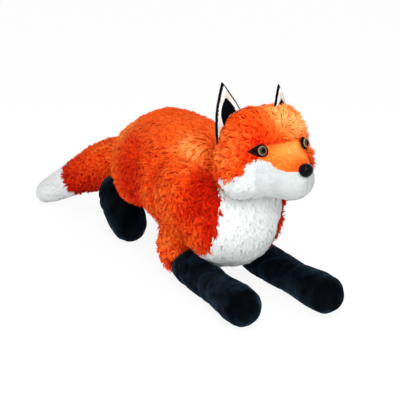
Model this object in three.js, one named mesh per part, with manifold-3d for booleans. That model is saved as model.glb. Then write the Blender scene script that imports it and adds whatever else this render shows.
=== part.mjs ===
// A large lying plush fox, about 77 cm from its forepaws to the tip of its tail.
// Millimetres, Z up. The torso lies along X with the chest toward +X, and +Y is the fox's left.
// Every stuffed form is a blend of ellipsoid lobes, skinned by rays cast from a spine inside it.
import * as THREE from 'three';
import { mergeVertices } from 'three/addons/utils/BufferGeometryUtils.js';
import Module from 'manifold-3d';

const wasm = await Module();
wasm.setup();

// Torso, from the rump to the chest.
const torsoLength = 500;
const torsoWidth = 196;
const torsoHeight = 252;
const torsoBlend = 40;

// Upper arms and haunches, which bulge from the torso's sides.
const armLength = 132;
const armWidth = 92;
const armHeight = 208;
const armX = 142;
const armSpread = 60;
const armShift = 5;
const armBlend = 30;
const haunchLength = 172;
const haunchWidth = 84;
const haunchHeight = 124;
const haunchX = -14;
const haunchZ = 150;
const haunchSpread = 56;
const haunchBlend = 28;

// Forelegs, which lie on the floor and swing outward about an upright axis in the elbow.
const forelegLength = 242;
const forelegWidth = 68;
const elbowX = 118;
const elbowSpread = 58;
const elbowShift = 7;
const elbowStagger = 6;
const rightForelegTurn = 0.5;
const leftForelegTurn = 5;
const forelegBlend = 24;
const forelegSwing = 25;
const elbowPlugRadius = 20;
const elbowPlugReach = 54;
const elbowPlugLow = 22;
const elbowPlugHigh = 44;
const elbowPlugSpread = 18;

// Hind feet, which swing outward about an upright axis in the hock.
const hindFootLength = 124;
const hindFootWidth = 68;
const hindFootHeight = 114;
const hockX = -134;
const hockSpread = 64;
const hindFootBlend = 30;
const hindFootSwing = 20;
const hockPlugRadius = 22;
const hockPlugLow = 58;
const hockPlugHigh = 94;

// Tail, which curves back and to the right, and swings about an upright axis in its root.
const tailLength = 190;
const tailSweep = 128;
const tailHeight = 160;
const tailRootX = -212;
const tailRootY = -20;
const tailBlend = 34;
const tailSwing = 20;
const tailGap = 1.5;

// Head, measured from the neck's upright turning axis, and the turn it rests at.
const headLength = 206;
const headWidth = 156;
const headHeight = 142;
const headBaseZ = 166;
const headBlend = 24;
const neckX = 211;
const neckY = 11;
const headBehindNeck = 62;
const headTurnAtRest = 10;
const neckTurnRight = 20;
const neckTurnLeft = 10;
const neckPlugRadius = 26;
const neckPlugLow = 150;
const neckPlugHigh = 212;

// Ears: upright cupped leaves of two layers and a dark patch, sewn to the head.
const earWidth = 50;
const earHeight = 98;
const earLayer = 2.6;
const earLayerGap = 0.7;
const earCup = 9;
const earLean = 13;
const rightEarTilt = 10;
const leftEarTilt = -7;
const leftEarNod = 27;
const earTurn = 22;
const earRim = 4;
const earPatchWidth = 23;
const earPatchHeight = 52;
const earPatchRise = 25;
const earFootShare = [0.437, 0.25, 0.5];
const earHalfWidthShares = [1, 1, 0.97, 0.9, 0.77, 0.57, 0.31, 0.04];
const patchHalfWidthShares = [0.3, 0.62, 0.86, 0.98, 1, 0.86, 0.55, 0.08];

// Safety eyes, nose, washers and the felt round each eye.
const eyeDiameter = 15;
const eyeHeight = 6;
const eyeSeatShare = [0.466, 0.135, 0.57];
const eyeLookShare = [1, 0.34, 0.05];
const shankDiameter = 4.4;
const shankLength = 17;
const washerDiameter = 16;
const washerThickness = 1.4;
const washerDepth = 13;
const eyeDomeShares = [[1, 0.2], [0.92, 0.5], [0.7, 0.8], [0.38, 0.96], [0, 1]];
const eyeBackShare = 0.9;
const patchLength = 30;
const patchWidth = 19;
const patchRoundDegrees = 125;
const noseWidth = 23;
const noseHeight = 20;
const noseDepth = 12;
const noseZ = 226;
const noseFromShare = 0.8;
const mouthThread = 1.4;
const mouthLength = 15;
const mouthDrop = 1.2;
const mouthLift = 0.45;

// Fabric, clearances and the depth that a form is pressed flat by the floor.
const plushWall = 6;
const feltWall = 1.2;
const fillGap = 0.6;
const seamGap = 0.4;
const fitGap = 0.3;
const plugGap = 0.5;
const swingGap = 2.3;
const floorPress = 0.5;
const overrun = 6;
const farReach = 400;

// Rings from pole to pole and sides round each skin.
const torsoFacets = { rings: 16, sides: 20 };
const headFacets = { rings: 14, sides: 20 };
const limbFacets = { rings: 9, sides: 14 };
const padFacets = { rings: 8, sides: 12 };
const innerFacets = { rings: 7, sides: 10 };
const torsoFillFacets = { rings: 14, sides: 14 };
const headFillFacets = { rings: 12, sides: 14 };
const cutterFacets = { rings: 16, sides: 20 };
const roundSides = 12;
const noseRings = 10;
const threadSides = 6;
const mouthPointCount = 6;
const mouthSteps = 8;
const fanSteps = 6;
const plugSides = 24;
const sweepSteps = 6;
const sweepStride = 2;
const sharpestMitreShare = 0.4;

// Lobes of each form: centre and reach as shares of the form's length, width and height.
const torsoLobeShares = [
  { at: [-0.28, 0, 0.49], reach: [0.15, 0.33, 0.33] },
  { at: [-0.04, 0, 0.63], reach: [0.25, 0.42, 0.375] },
  { at: [0.15, 0, 0.585], reach: [0.22, 0.47, 0.395] },
  { at: [0.4, 0, 0.5], reach: [0.13, 0.43, 0.33] },
  { at: [0.2, 0, 0.17], reach: [0.14, 0.27, 0.17] },
];
const torsoSpineShares = [[-0.3, 0, 0.48], [0.36, 0, 0.46]];
const armLobeShares = [
  { at: [0, 0, 0.7], reach: [0.5, 0.5, 0.3] },
  { at: [0.4, -0.09, 0.72], reach: [0.39, 0.39, 0.2] },
  { at: [-0.18, -0.02, 0.27], reach: [0.27, 0.39, 0.24] },
];
const armSpineShares = [[0.06, -0.02, 0.68], [-0.16, -0.02, 0.29]];
const haunchLobeShares = [
  { at: [0, 0, 0], reach: [0.5, 0.5, 0.5] },
  { at: [-0.23, -0.02, -0.2], reach: [0.3, 0.43, 0.39] },
];
const haunchSpineShares = [[-0.2, 0, -0.06], [0.16, 0, 0]];
const forelegLobeShares = [
  { at: [0.13, 0, 0.5], reach: [0.14, 0.4, 0.42] },
  { at: [0.335, 0, 0.49], reach: [0.245, 0.385, 0.41] },
  { at: [0.58, 0, 0.45], reach: [0.245, 0.37, 0.39] },
  { at: [0.853, 0, 0.47], reach: [0.147, 0.46, 0.47] },
];
const forelegSpineShares = [[0.13, 0, 0.53], [0.86, 0, 0.49]];
const hindFootLobeShares = [
  { at: [0, 0, 0.685], reach: [0.28, 0.48, 0.31] },
  { at: [0.2, -0.03, 0.5], reach: [0.25, 0.46, 0.26] },
  { at: [0.425, -0.06, 0.3], reach: [0.265, 0.49, 0.3] },
];
const hindFootSpineShares = [[0, 0, 0.67], [0.43, -0.06, 0.31]];
const tailLobeShares = [
  { at: [0, 0, 0.74], reach: [0.26, 0.36, 0.28] },
  { at: [-0.263, -0.2, 0.58], reach: [0.29, 0.36, 0.28] },
  { at: [-0.558, -0.515, 0.37], reach: [0.23, 0.27, 0.22] },
  { at: [-0.758, -0.766, 0.2], reach: [0.15, 0.19, 0.14] },
  { at: [-0.835, -0.85, 0.12], reach: [0.13, 0.13, 0.1] },
];
const tailSpineShares = [[0.01, 0, 0.76], [-0.4, -0.34, 0.51], [-0.84, -0.845, 0.125]];
const headLobeShares = [
  { at: [0.52, 0.175, 0.51], reach: [0.215, 0.28, 0.465] },
  { at: [0.52, -0.175, 0.51], reach: [0.215, 0.28, 0.465] },
  { at: [0.36, 0, 0.48], reach: [0.22, 0.3, 0.4] },
  { at: [0.54, 0.27, 0.29], reach: [0.223, 0.225, 0.25] },
  { at: [0.54, -0.27, 0.29], reach: [0.223, 0.225, 0.25] },
  { at: [0.728, 0, 0.324], reach: [0.184, 0.23, 0.21] },
  { at: [0.854, 0, 0.29], reach: [0.131, 0.186, 0.2] },
];
const headSpineShares = [[0.38, 0, 0.44], [0.82, 0, 0.3]];

// Panel seams: outlines as shares of the form's sizes, seen from the side or from the front.
// The bib reaches further round on the left above, and the white cheek stays lower there.
const bellySeamShares = [[-0.22, -0.1], [-0.2, 0.32], [-0.08, 0.37], [0.12, 0.36], [0.3, 0.3], [0.7, 0.3],
  [0.7, -0.1]];
const bibSeamShares = [[-0.31, 0.25], [0.27, 0.25], [0.29, 0.46], [0.36, 0.55], [0.37, 0.64], [0.28, 0.73],
  [-0.2, 0.73], [-0.22, 0.64], [-0.265, 0.53]];
const bibFromShare = 0.4;
const chestFromShare = 0.04;
const cheekSeamShares = [[0.43, -0.3], [0.45, 0.27], [0.607, 0.296], [0.689, 0.36], [0.704, 0.47],
  [0.725, 0.51], [0.752, 0.5], [0.826, 0.437], [0.895, 0.413], [1.1, 0.42], [1.1, -0.3]];
const leftCheekSeamShares = [[0.43, -0.3], [0.45, 0.27], [0.607, 0.296], [0.7, 0.335], [0.8, 0.375],
  [0.895, 0.413], [1.1, 0.42], [1.1, -0.3]];
const muzzleSeamShares = [[0.735, 0.49], [0.725, 0.6], [0.72, 0.69], [1.1, 0.72], [1.1, 0.3], [0.735, 0.3]];
const tailTipFromShare = 0.66;

const up = new THREE.Vector3(0, 0, 1);
const forward = new THREE.Vector3(1, 0, 0);
const sideways = new THREE.Vector3(0, 1, 0);
const rightAngle = Math.PI / 2;

function radians(degrees) {
  return THREE.MathUtils.degToRad(degrees);
}

function vector([x, y, z], side = 1) {
  return new THREE.Vector3(x, y * side, z);
}

// Distance to an ellipsoid, close to true near its surface and negative inside.
function lobeDistance(point, { centre, reach }) {
  const x = point.x - centre.x;
  const y = point.y - centre.y;
  const z = point.z - centre.z;
  const near = Math.hypot(x / reach.x, y / reach.y, z / reach.z);
  const slope = Math.hypot(x / reach.x ** 2, y / reach.y ** 2, z / reach.z ** 2);
  return slope === 0 ? -Math.min(reach.x, reach.y, reach.z) : (near * (near - 1)) / slope;
}

// The smaller of two distances, with the crease between them filled over the blend width.
function smoothUnion(a, b, blend) {
  const overlap = Math.max(blend - Math.abs(a - b), 0) / blend;
  return Math.min(a, b) - (overlap * overlap * blend) / 4;
}

// A form is a distance function and the spine that its skin is cast from.
function makeForm(lobeShares, spineShares, size, base, blend, side = 1) {
  const place = (share) => vector(share, side).multiply(size).add(base);
  const lobes = lobeShares.map(({ at, reach }) => ({
    centre: place(at),
    reach: new THREE.Vector3(...reach).multiply(size),
  }));
  const value = (point) =>
    lobes.map((lobe) => lobeDistance(point, lobe)).reduce((a, b) => smoothUnion(a, b, blend));
  return { value, spine: new THREE.CatmullRomCurve3(spineShares.map(place)) };
}

// How far along a ray from inside the form its surface lies: steps out, then halves.
function castToSurface(value, start, direction, offset) {
  const steps = 40;
  const halvings = 22;
  const probe = new THREE.Vector3();
  const at = (distance) => value(probe.copy(start).addScaledVector(direction, distance));
  let low = 0;
  let high = farReach;
  for (let step = 1; step < steps; step += 1) {
    const distance = (farReach * step) / steps;
    if (at(distance) > offset) {
      high = distance;
      break;
    }
    low = distance;
  }
  for (let halving = 0; halving < halvings; halving += 1) {
    const middle = (low + high) / 2;
    if (at(middle) > offset) high = middle;
    else low = middle;
  }
  return (low + high) / 2;
}

function indexedGeometry(positions, faces) {
  const geometry = new THREE.BufferGeometry();
  geometry.setAttribute('position', new THREE.Float32BufferAttribute(positions, 3));
  geometry.setIndex(faces);
  return geometry;
}

// A closed grid round the spine, whose end rings fan out to a pole like a capsule's caps.
function skin(form, { rings, sides }, offset = 0) {
  const capShare = 0.3;
  const positions = [];
  const faces = [];
  const reference = form.reference ?? up;
  for (let ring = 0; ring <= rings; ring += 1) {
    const share = ring / rings;
    const along = THREE.MathUtils.clamp((share - capShare) / (1 - 2 * capShare), 0, 1);
    const lean = (Math.min(share / capShare - 1, 0) + Math.max((share - 1) / capShare + 1, 0)) * rightAngle;
    const start = form.spine.getPoint(along);
    const tangent = form.spine.getTangent(along);
    const across = new THREE.Vector3().crossVectors(reference, tangent).normalize();
    const over = new THREE.Vector3().crossVectors(tangent, across);
    const count = ring === 0 || ring === rings ? 1 : sides;
    for (let turn = 0; turn < count; turn += 1) {
      const angle = (turn / sides) * Math.PI * 2;
      const direction = tangent.clone().multiplyScalar(Math.sin(lean))
        .addScaledVector(across, Math.cos(lean) * Math.cos(angle))
        .addScaledVector(over, Math.cos(lean) * Math.sin(angle));
      const distance = castToSurface(form.value, start, direction, offset);
      positions.push(...start.clone().addScaledVector(direction, distance).toArray());
    }
  }
  const at = (ring, turn) => (ring === 0 ? 0 : 1 + (ring - 1) * sides + (turn % sides));
  const last = 1 + (rings - 1) * sides;
  for (let turn = 0; turn < sides; turn += 1) {
    faces.push(0, at(1, turn + 1), at(1, turn));
    for (let ring = 1; ring < rings - 1; ring += 1) {
      faces.push(at(ring, turn), at(ring, turn + 1), at(ring + 1, turn + 1));
      faces.push(at(ring, turn), at(ring + 1, turn + 1), at(ring + 1, turn));
    }
    faces.push(at(rings - 1, turn), at(rings - 1, turn + 1), last);
  }
  return indexedGeometry(positions, faces);
}

// The form lowered or raised so that its lowest faceted point presses into the floor.
function settled(form, facets) {
  const geometry = skin(form, facets);
  geometry.computeBoundingBox();
  const rise = new THREE.Vector3(0, 0, -floorPress - geometry.boundingBox.min.z);
  const spine = new THREE.CatmullRomCurve3(form.spine.points.map((point) => point.clone().add(rise)));
  return { ...form, value: (point) => form.value(point.clone().sub(rise)), spine };
}

function solidOf(geometry) {
  const bare = geometry.clone();
  bare.deleteAttribute('normal');
  bare.deleteAttribute('uv');
  const merged = mergeVertices(bare);
  return new wasm.Manifold(new wasm.Mesh({
    numProp: 3,
    vertProperties: merged.attributes.position.array,
    triVerts: new Uint32Array(merged.index.array),
  }));
}

function geometryOf(solid) {
  const { vertProperties, triVerts } = solid.getMesh();
  const geometry = indexedGeometry(vertProperties, Array.from(triVerts));
  geometry.computeVertexNormals();
  return geometry;
}

// A cut can leave slivers beside the piece itself, so the largest body is kept.
function mainBody(solid) {
  return solid.decompose().reduce((a, b) => (a.volume() > b.volume() ? a : b));
}

// A prism over an outline, standing on the XY plane and then turned to face the right way.
function prism(points, depth, turn) {
  const shape = new THREE.Shape(points.map(([x, y]) => new THREE.Vector2(x, y)));
  const geometry = new THREE.ExtrudeGeometry(shape, { depth, bevelEnabled: false });
  geometry.translate(0, 0, -depth / 2);
  return geometry.applyMatrix4(turn);
}

// The same outline grown outward by a distance, corner by corner.
function grown(points, distance) {
  const area = points.reduce((sum, [x, y], index) => {
    const [nextX, nextY] = points[(index + 1) % points.length];
    return sum + x * nextY - nextX * y;
  }, 0);
  const outward = Math.sign(area) * distance;
  return points.map((point, index) => {
    const before = points[(index + points.length - 1) % points.length];
    const after = points[(index + 1) % points.length];
    const first = new THREE.Vector2(point[1] - before[1], before[0] - point[0]).normalize();
    const second = new THREE.Vector2(after[1] - point[1], point[0] - after[0]).normalize();
    const mitre = first.clone().add(second).normalize();
    const length = outward / Math.max(mitre.dot(first), sharpestMitreShare);
    return [point[0] + mitre.x * length, point[1] + mitre.y * length];
  });
}

const sideView = new THREE.Matrix4().makeRotationX(rightAngle);
const frontView = new THREE.Matrix4().makeBasis(sideways, up, forward);

function scaledOutline(shares, width, height) {
  return shares.map(([x, y]) => [x * width, y * height]);
}

function turnAbout(pivot, axis, degrees) {
  return new THREE.Matrix4().makeTranslation(pivot)
    .multiply(new THREE.Matrix4().makeRotationAxis(axis, radians(degrees)))
    .multiply(new THREE.Matrix4().makeTranslation(pivot.clone().negate()));
}

function cutAll(solid, cutters) {
  return cutters.reduce((left, cutter) => left.subtract(cutter), solid);
}

// How a group swings about its own origin, between two angles in degrees from its place at rest.
function rangeOf(group, axis, from, to) {
  return { frame: group.matrix, pivot: group.position, axis, from, to };
}

// The places that a swinging frame takes, each as a matrix to the frame that it swings in.
function placesOf({ frame, pivot, axis, from, to }) {
  return Array.from({ length: sweepSteps + 1 }, (_, index) =>
    turnAbout(pivot, axis, THREE.MathUtils.lerp(from, to, index / sweepSteps)).multiply(frame));
}

// The room that a form takes as it moves: cast from its spine in the frame that `home` leads from.
function sweptRoom(form, home, moves, gap) {
  const value = (point) => Math.min(...moves.map((move) => form.value(point.clone().applyMatrix4(move))));
  const back = home.clone().invert();
  const spinePoints = form.spine.points.map((point) => point.clone().applyMatrix4(back));
  const spine = new THREE.CatmullRomCurve3(spinePoints);
  const reference = form.reference?.clone().transformDirection(back);
  return solidOf(skin({ value, spine, reference }, cutterFacets, gap));
}

// What a moving piece is cut by to clear a still neighbour over its whole range: the swept room,
// and the neighbour's own faceted skin at steps through the range.
function clearanceOf(form, facets, range) {
  const places = placesOf(range);
  const stepped = places.filter((_, index) => index % sweepStride === 0)
    .map((place) => solidOf(skin(form, facets, seamGap).applyMatrix4(place.clone().invert())));
  return [sweptRoom(form, range.frame, places, swingGap), ...stepped];
}

const fox = new THREE.Group();

function fabric(color, roughness = 0.95) {
  return new THREE.MeshStandardMaterial({ color, roughness, metalness: 0 });
}

const orangePlush = fabric(0xe2561a);
const shortPile = fabric(0xf08a34, 0.9);
const whitePlush = fabric(0xeceef0);
const creamPlush = fabric(0xfbeed6);
const blackPlush = fabric(0x14181f);
const fibreFill = fabric(0xf4f4f2, 1);
const thread = fabric(0x8a8078, 0.8);
const felt = fabric(0x2a1710, 1);
const amberPlastic = new THREE.MeshStandardMaterial({ color: 0x6b4a1c, roughness: 0.08, metalness: 0 });
const blackPlastic = new THREE.MeshStandardMaterial({ color: 0x08080a, roughness: 0.12, metalness: 0 });
const washerPlastic = new THREE.MeshStandardMaterial({ color: 0xe6e6e0, roughness: 0.5, metalness: 0 });

function addPiece(group, name, solid, material) {
  const mesh = new THREE.Mesh(geometryOf(mainBody(solid)), material);
  mesh.name = name;
  group.add(mesh);
}

// A group that turns about an upright axis through its own origin.
function pivotGroup(parent, x, y, turn = 0) {
  const group = new THREE.Group();
  group.position.set(x, y, 0);
  group.rotation.z = radians(turn);
  parent.add(group);
  group.updateMatrix();
  return group;
}

// Floor, as a slab to cut resting forms flat.
const floorSlab = solidOf(new THREE.BoxGeometry(farReach * 4, farReach * 4, farReach)
  .translate(0, 0, -farReach / 2));

// Outer fabric and the fill inside it, both cut by what they lie against.
function stuffed(form, facets, fillFacets, cutters) {
  const outer = solidOf(skin(form, facets));
  const inner = solidOf(skin(form, fillFacets, -plushWall));
  const fill = solidOf(skin(form, fillFacets, -plushWall - fillGap));
  return { cover: cutAll(outer.subtract(inner), cutters), fill: cutAll(fill, cutters) };
}

const sides = [['right', -1], ['left', 1]];
const outward = { right: up.clone().negate(), left: up.clone() };
const legTurns = { right: rightForelegTurn, left: leftForelegTurn };
const headGroup = pivotGroup(fox, neckX, neckY, headTurnAtRest);
const legGroups = {};
const footGroups = {};
for (const [name, side] of sides) {
  const elbowY = side * elbowSpread + elbowShift;
  legGroups[name] = pivotGroup(fox, elbowX + side * elbowStagger, elbowY, legTurns[name]);
  footGroups[name] = pivotGroup(fox, hockX, side * hockSpread);
}

// A round plug of fill on a group's axis. It runs through the seam into a socket in the torso.
function roundPlug(radius, low, high, growth = 0) {
  const height = high - low + growth * 2;
  return new THREE.CylinderGeometry(radius + growth, radius + growth, height, plugSides)
    .rotateX(rightAngle).translate(0, 0, (low + high) / 2);
}

// The elbow's plug is joined to the foreleg by a fan, and its socket leaves room for the fan's swing.
function elbowPlug(side, swing, growth = 0) {
  const from = -elbowPlugSpread - (side < 0 ? swing : 0);
  const to = elbowPlugSpread + (side > 0 ? swing : 0);
  const arc = Array.from({ length: fanSteps + 1 }, (_, index) => {
    const angle = radians(THREE.MathUtils.lerp(from, to, index / fanSteps));
    return [Math.cos(angle) * elbowPlugReach, Math.sin(angle) * elbowPlugReach];
  });
  const depth = elbowPlugHigh - elbowPlugLow + growth * 2;
  const fan = prism(grown([[0, 0], ...arc], growth), depth,
    new THREE.Matrix4().makeTranslation(0, 0, (elbowPlugLow + elbowPlugHigh) / 2));
  return solidOf(fan).add(solidOf(roundPlug(elbowPlugRadius, elbowPlugLow, elbowPlugHigh, growth)));
}

function socketIn(group, geometry) {
  return solidOf(geometry.applyMatrix4(group.matrix));
}

const neckSocket = socketIn(headGroup, roundPlug(neckPlugRadius, neckPlugLow, neckPlugHigh, plugGap));
const hockSockets = sides.map(([name]) =>
  socketIn(footGroups[name], roundPlug(hockPlugRadius, hockPlugLow, hockPlugHigh, plugGap)));
const elbowSockets = {};
for (const [name, side] of sides) {
  const socket = geometryOf(elbowPlug(side, forelegSwing, plugGap));
  elbowSockets[name] = socketIn(legGroups[name], socket);
}

// The tail's root is a ball round its upright axis, and it turns in a socket in the rump.
const tailGroup = pivotGroup(fox, tailRootX, tailRootY);
const tail = settled(makeForm(tailLobeShares, tailSpineShares,
  new THREE.Vector3(tailLength, tailSweep, tailHeight), new THREE.Vector3(), tailBlend), limbFacets);
const tailRange = rangeOf(tailGroup, up, -tailSwing, tailSwing);
const tailRoom = sweptRoom(tail, tailGroup.matrix.clone().invert(),
  placesOf(tailRange).map((place) => place.invert()), tailGap);

// Torso: an orange back, a white chest with its bib, a white belly behind it, and the fill.
const torso = settled(makeForm(torsoLobeShares, torsoSpineShares,
  new THREE.Vector3(torsoLength, torsoWidth, torsoHeight), new THREE.Vector3(), torsoBlend), torsoFacets);
const torsoParts = stuffed(torso, torsoFacets, torsoFillFacets,
  [floorSlab, tailRoom, neckSocket, ...hockSockets, elbowSockets.right, elbowSockets.left]);
const bellyOutline = scaledOutline(bellySeamShares, torsoLength, torsoHeight);
const bibOutline = scaledOutline(bibSeamShares, torsoWidth, torsoHeight);
function paleRegion(growth) {
  const belly = solidOf(prism(grown(bellyOutline, growth), torsoWidth * 2, sideView));
  const bib = solidOf(prism(grown(bibOutline, growth), torsoLength + growth * 2, frontView)
    .translate(torsoLength * (bibFromShare + 1 / 2), 0, 0));
  return belly.add(bib);
}
addPiece(fox, 'back_cover', torsoParts.cover.subtract(paleRegion(seamGap)), orangePlush);
function chestRegion(growth) {
  const block = new THREE.BoxGeometry(torsoLength, torsoWidth * 2, torsoHeight * 2);
  return solidOf(block.translate(torsoLength * (chestFromShare + 1 / 2) - growth, 0, 0));
}
const paleCover = torsoParts.cover.intersect(paleRegion(0));
addPiece(fox, 'chest_cover', paleCover.intersect(chestRegion(0)), whitePlush);
addPiece(fox, 'belly_cover', paleCover.subtract(chestRegion(seamGap)), whitePlush);
addPiece(fox, 'body_stuffing', torsoParts.fill, fibreFill);
const torsoCutter = solidOf(skin(torso, torsoFacets, seamGap));

const arms = {};
const haunches = {};
for (const [name, side] of sides) {
  const arm = makeForm(armLobeShares, armSpineShares, new THREE.Vector3(armLength, armWidth, armHeight),
    new THREE.Vector3(armX, side * armSpread + armShift, 0), armBlend, side);
  arm.reference = forward;
  arms[name] = arm;
  const armParts = stuffed(arm, padFacets, innerFacets, [torsoCutter, elbowSockets[name], neckSocket]);
  addPiece(fox, `upper_arm_${name}`, armParts.cover, orangePlush);
  addPiece(fox, `upper_arm_stuffing_${name}`, armParts.fill, fibreFill);
  const haunch = makeForm(haunchLobeShares, haunchSpineShares,
    new THREE.Vector3(haunchLength, haunchWidth, haunchHeight),
    new THREE.Vector3(haunchX, side * haunchSpread, haunchZ), haunchBlend, side);
  haunches[name] = haunch;
  const haunchParts = stuffed(haunch, padFacets, innerFacets, [torsoCutter]);
  addPiece(fox, `haunch_${name}`, haunchParts.cover, orangePlush);
  addPiece(fox, `haunch_stuffing_${name}`, haunchParts.fill, fibreFill);
}

// Forelegs and hind feet: each a sleeve of velour and its fill, swinging about an upright axis.
for (const [name, side] of sides) {
  const leg = settled(makeForm(forelegLobeShares, forelegSpineShares,
    new THREE.Vector3(forelegLength, forelegWidth, forelegWidth), new THREE.Vector3(), forelegBlend),
  limbFacets);
  const legGroup = legGroups[name];
  const legSwing = rangeOf(legGroup, outward[name], 0, forelegSwing);
  const legCutters = [
    ...clearanceOf(torso, torsoFacets, legSwing), ...clearanceOf(arms[name], padFacets, legSwing)];
  const legParts = stuffed(leg, limbFacets, innerFacets, [floorSlab, ...legCutters]);
  addPiece(legGroup, `foreleg_${name}`, legParts.cover.subtract(elbowPlug(side, 0, fillGap)), blackPlush);
  addPiece(legGroup, `foreleg_stuffing_${name}`, legParts.fill.add(elbowPlug(side, 0)), fibreFill);

  const foot = settled(makeForm(hindFootLobeShares, hindFootSpineShares,
    new THREE.Vector3(hindFootLength, hindFootWidth, hindFootHeight), new THREE.Vector3(),
    hindFootBlend, side), limbFacets);
  const footGroup = footGroups[name];
  const footSwing = rangeOf(footGroup, outward[name], 0, hindFootSwing);
  const footCutters = [
    ...clearanceOf(torso, torsoFacets, footSwing), ...clearanceOf(haunches[name], padFacets, footSwing)];
  const footParts = stuffed(foot, limbFacets, innerFacets, [floorSlab, ...footCutters]);
  const hockPlug = (growth) => solidOf(roundPlug(hockPlugRadius, hockPlugLow, hockPlugHigh, growth));
  addPiece(footGroup, `hind_foot_${name}`, footParts.cover.subtract(hockPlug(fillGap)), blackPlush);
  addPiece(footGroup, `hind_foot_stuffing_${name}`, footParts.fill.add(hockPlug(0)), fibreFill);
}

// Tail: an orange sleeve, a white tip and the fill.
const tailParts = stuffed(tail, limbFacets, innerFacets, [floorSlab]);
function tailTipRegion(growth) {
  const seam = tail.spine.getPoint(tailTipFromShare);
  const along = tail.spine.getTangent(tailTipFromShare);
  const across = new THREE.Vector3().crossVectors(up, along).normalize();
  const block = new THREE.BoxGeometry(tailLength, tailLength, tailLength);
  block.translate(tailLength / 2 - growth, 0, 0);
  const over = new THREE.Vector3().crossVectors(along, across);
  block.applyMatrix4(new THREE.Matrix4().makeBasis(along, across, over));
  return solidOf(block.translate(seam.x, seam.y, seam.z));
}
addPiece(tailGroup, 'tail_cover', tailParts.cover.subtract(tailTipRegion(seamGap)), orangePlush);
addPiece(tailGroup, 'tail_tip_cover', tailParts.cover.intersect(tailTipRegion(0)), whitePlush);
addPiece(tailGroup, 'tail_stuffing', tailParts.fill, fibreFill);

// Head: long orange pile, white cheeks and jaw, a short-pile muzzle top, and the fill.
const headSize = new THREE.Vector3(headLength, headWidth, headHeight);
const headBase = new THREE.Vector3(-headBehindNeck, 0, headBaseZ);
const head = makeForm(headLobeShares, headSpineShares, headSize, headBase, headBlend);
const neckTurn = rangeOf(headGroup, up, -neckTurnRight, neckTurnLeft);
const neckCutters = [
  ...clearanceOf(torso, torsoFacets, neckTurn),
  ...clearanceOf(arms.right, padFacets, neckTurn), ...clearanceOf(arms.left, padFacets, neckTurn)];
const headParts = stuffed(head, headFacets, headFillFacets, neckCutters);
function neckPlug(growth) {
  return solidOf(roundPlug(neckPlugRadius, neckPlugLow, neckPlugHigh, growth));
}

// A point given as shares of the head's sizes, on its right or left side.
function onHead(share, side) {
  return vector(share, side).multiply(headSize).add(headBase);
}

function sideRegion(shares, growth, middle = 0) {
  const outline = grown(scaledOutline(shares, headLength, headHeight), growth);
  return solidOf(prism(outline, headWidth * 2, sideView).translate(-headBehindNeck, middle, headBaseZ));
}

// The right cheek rises to the eye, and the left one ends lower.
function cheekRegion(growth) {
  return sideRegion(leftCheekSeamShares, growth).add(sideRegion(cheekSeamShares, growth, growth - headWidth));
}

// Where a fitting sits on the head, and the frame whose Z points straight out of the fabric there.
function seatOnHead(start, look) {
  const direction = look.clone().normalize();
  const spot = start.clone().addScaledVector(direction, castToSurface(head.value, start, direction, 0));
  const nudge = seamGap;
  const slope = (axis) => head.value(spot.clone().addScaledVector(axis, nudge))
    - head.value(spot.clone().addScaledVector(axis, -nudge));
  const out = new THREE.Vector3(slope(forward), slope(sideways), slope(up)).normalize();
  const back = up.clone().addScaledVector(out, -out.z).normalize();
  const frame = new THREE.Matrix4().makeBasis(new THREE.Vector3().crossVectors(back, out), back, out);
  return frame.setPosition(spot);
}

// A turned part, its profile given as radius and height, standing along the seat's Z.
function turned(profile, seat, lift) {
  const geometry = new THREE.LatheGeometry(profile.map(([r, z]) => new THREE.Vector2(r, z)), roundSides);
  geometry.rotateX(rightAngle).translate(0, 0, lift);
  return solidOf(geometry.applyMatrix4(seat));
}

function shankHole(seat) {
  const radius = shankDiameter / 2 + fitGap;
  const bottom = -shankLength - overrun;
  return turned([[0, bottom], [radius, bottom], [radius, overrun], [0, overrun]], seat, 0);
}

function washerAt(seat) {
  const inner = shankDiameter / 2 + fitGap;
  const outer = washerDiameter / 2;
  const low = -washerThickness;
  return turned([[inner, low], [outer, low], [outer, 0], [inner, 0], [inner, low]], seat, -washerDepth);
}

// A pocket in the fill that the washer and the end of the shank lie in.
function washerPocket(seat) {
  const radius = washerDiameter / 2 + fitGap;
  const bottom = -shankLength - fitGap;
  return turned([[0, bottom], [radius, bottom], [radius, overrun], [0, overrun]], seat, 0);
}

// The felt drop round an eye, its point toward the temple.
function patchOutline(side) {
  const round = Array.from({ length: roundSides - 3 }, (_, index) => {
    const share = index / (roundSides - 4);
    const angle = radians(THREE.MathUtils.lerp(-patchRoundDegrees, patchRoundDegrees, share));
    return [side * -Math.cos(angle) * patchWidth / 2, Math.sin(angle) * patchWidth / 2];
  });
  const point = [side * (patchLength - patchWidth / 2), 0];
  return [...round, point];
}

const headCuts = [];
const fillCuts = [];
const fittings = [];
for (const [name, side] of sides) {
  const seat = seatOnHead(onHead(eyeSeatShare, side), vector(eyeLookShare, side));
  const rest = fitGap + feltWall + fitGap;
  const half = eyeDiameter / 2;
  const shank = shankDiameter / 2;
  const dome = scaledOutline(eyeDomeShares, half, eyeHeight);
  const profile = [[0, -shankLength], [shank, -shankLength], [shank, 0], [half * eyeBackShare, 0], ...dome];
  fittings.push([`eye_${name}`, turned(profile, seat, rest), amberPlastic]);
  fittings.push([`eye_washer_${name}`, washerAt(seat), washerPlastic]);
  const recess = turned([[0, rest - fitGap], [half + fitGap, rest - fitGap],
    [half + fitGap, overrun * 2], [0, overrun * 2]], seat, 0);
  const drop = solidOf(prism(patchOutline(side), farReach / 10, seat));
  const layer = solidOf(skin(head, headFacets, fitGap + feltWall))
    .subtract(solidOf(skin(head, headFacets, fitGap)));
  const patch = layer.intersect(drop).subtract(shankHole(seat)).subtract(recess);
  fittings.push([`eye_patch_${name}`, patch, felt]);
  headCuts.push(shankHole(seat), recess);
  fillCuts.push(washerPocket(seat));
}

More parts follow.
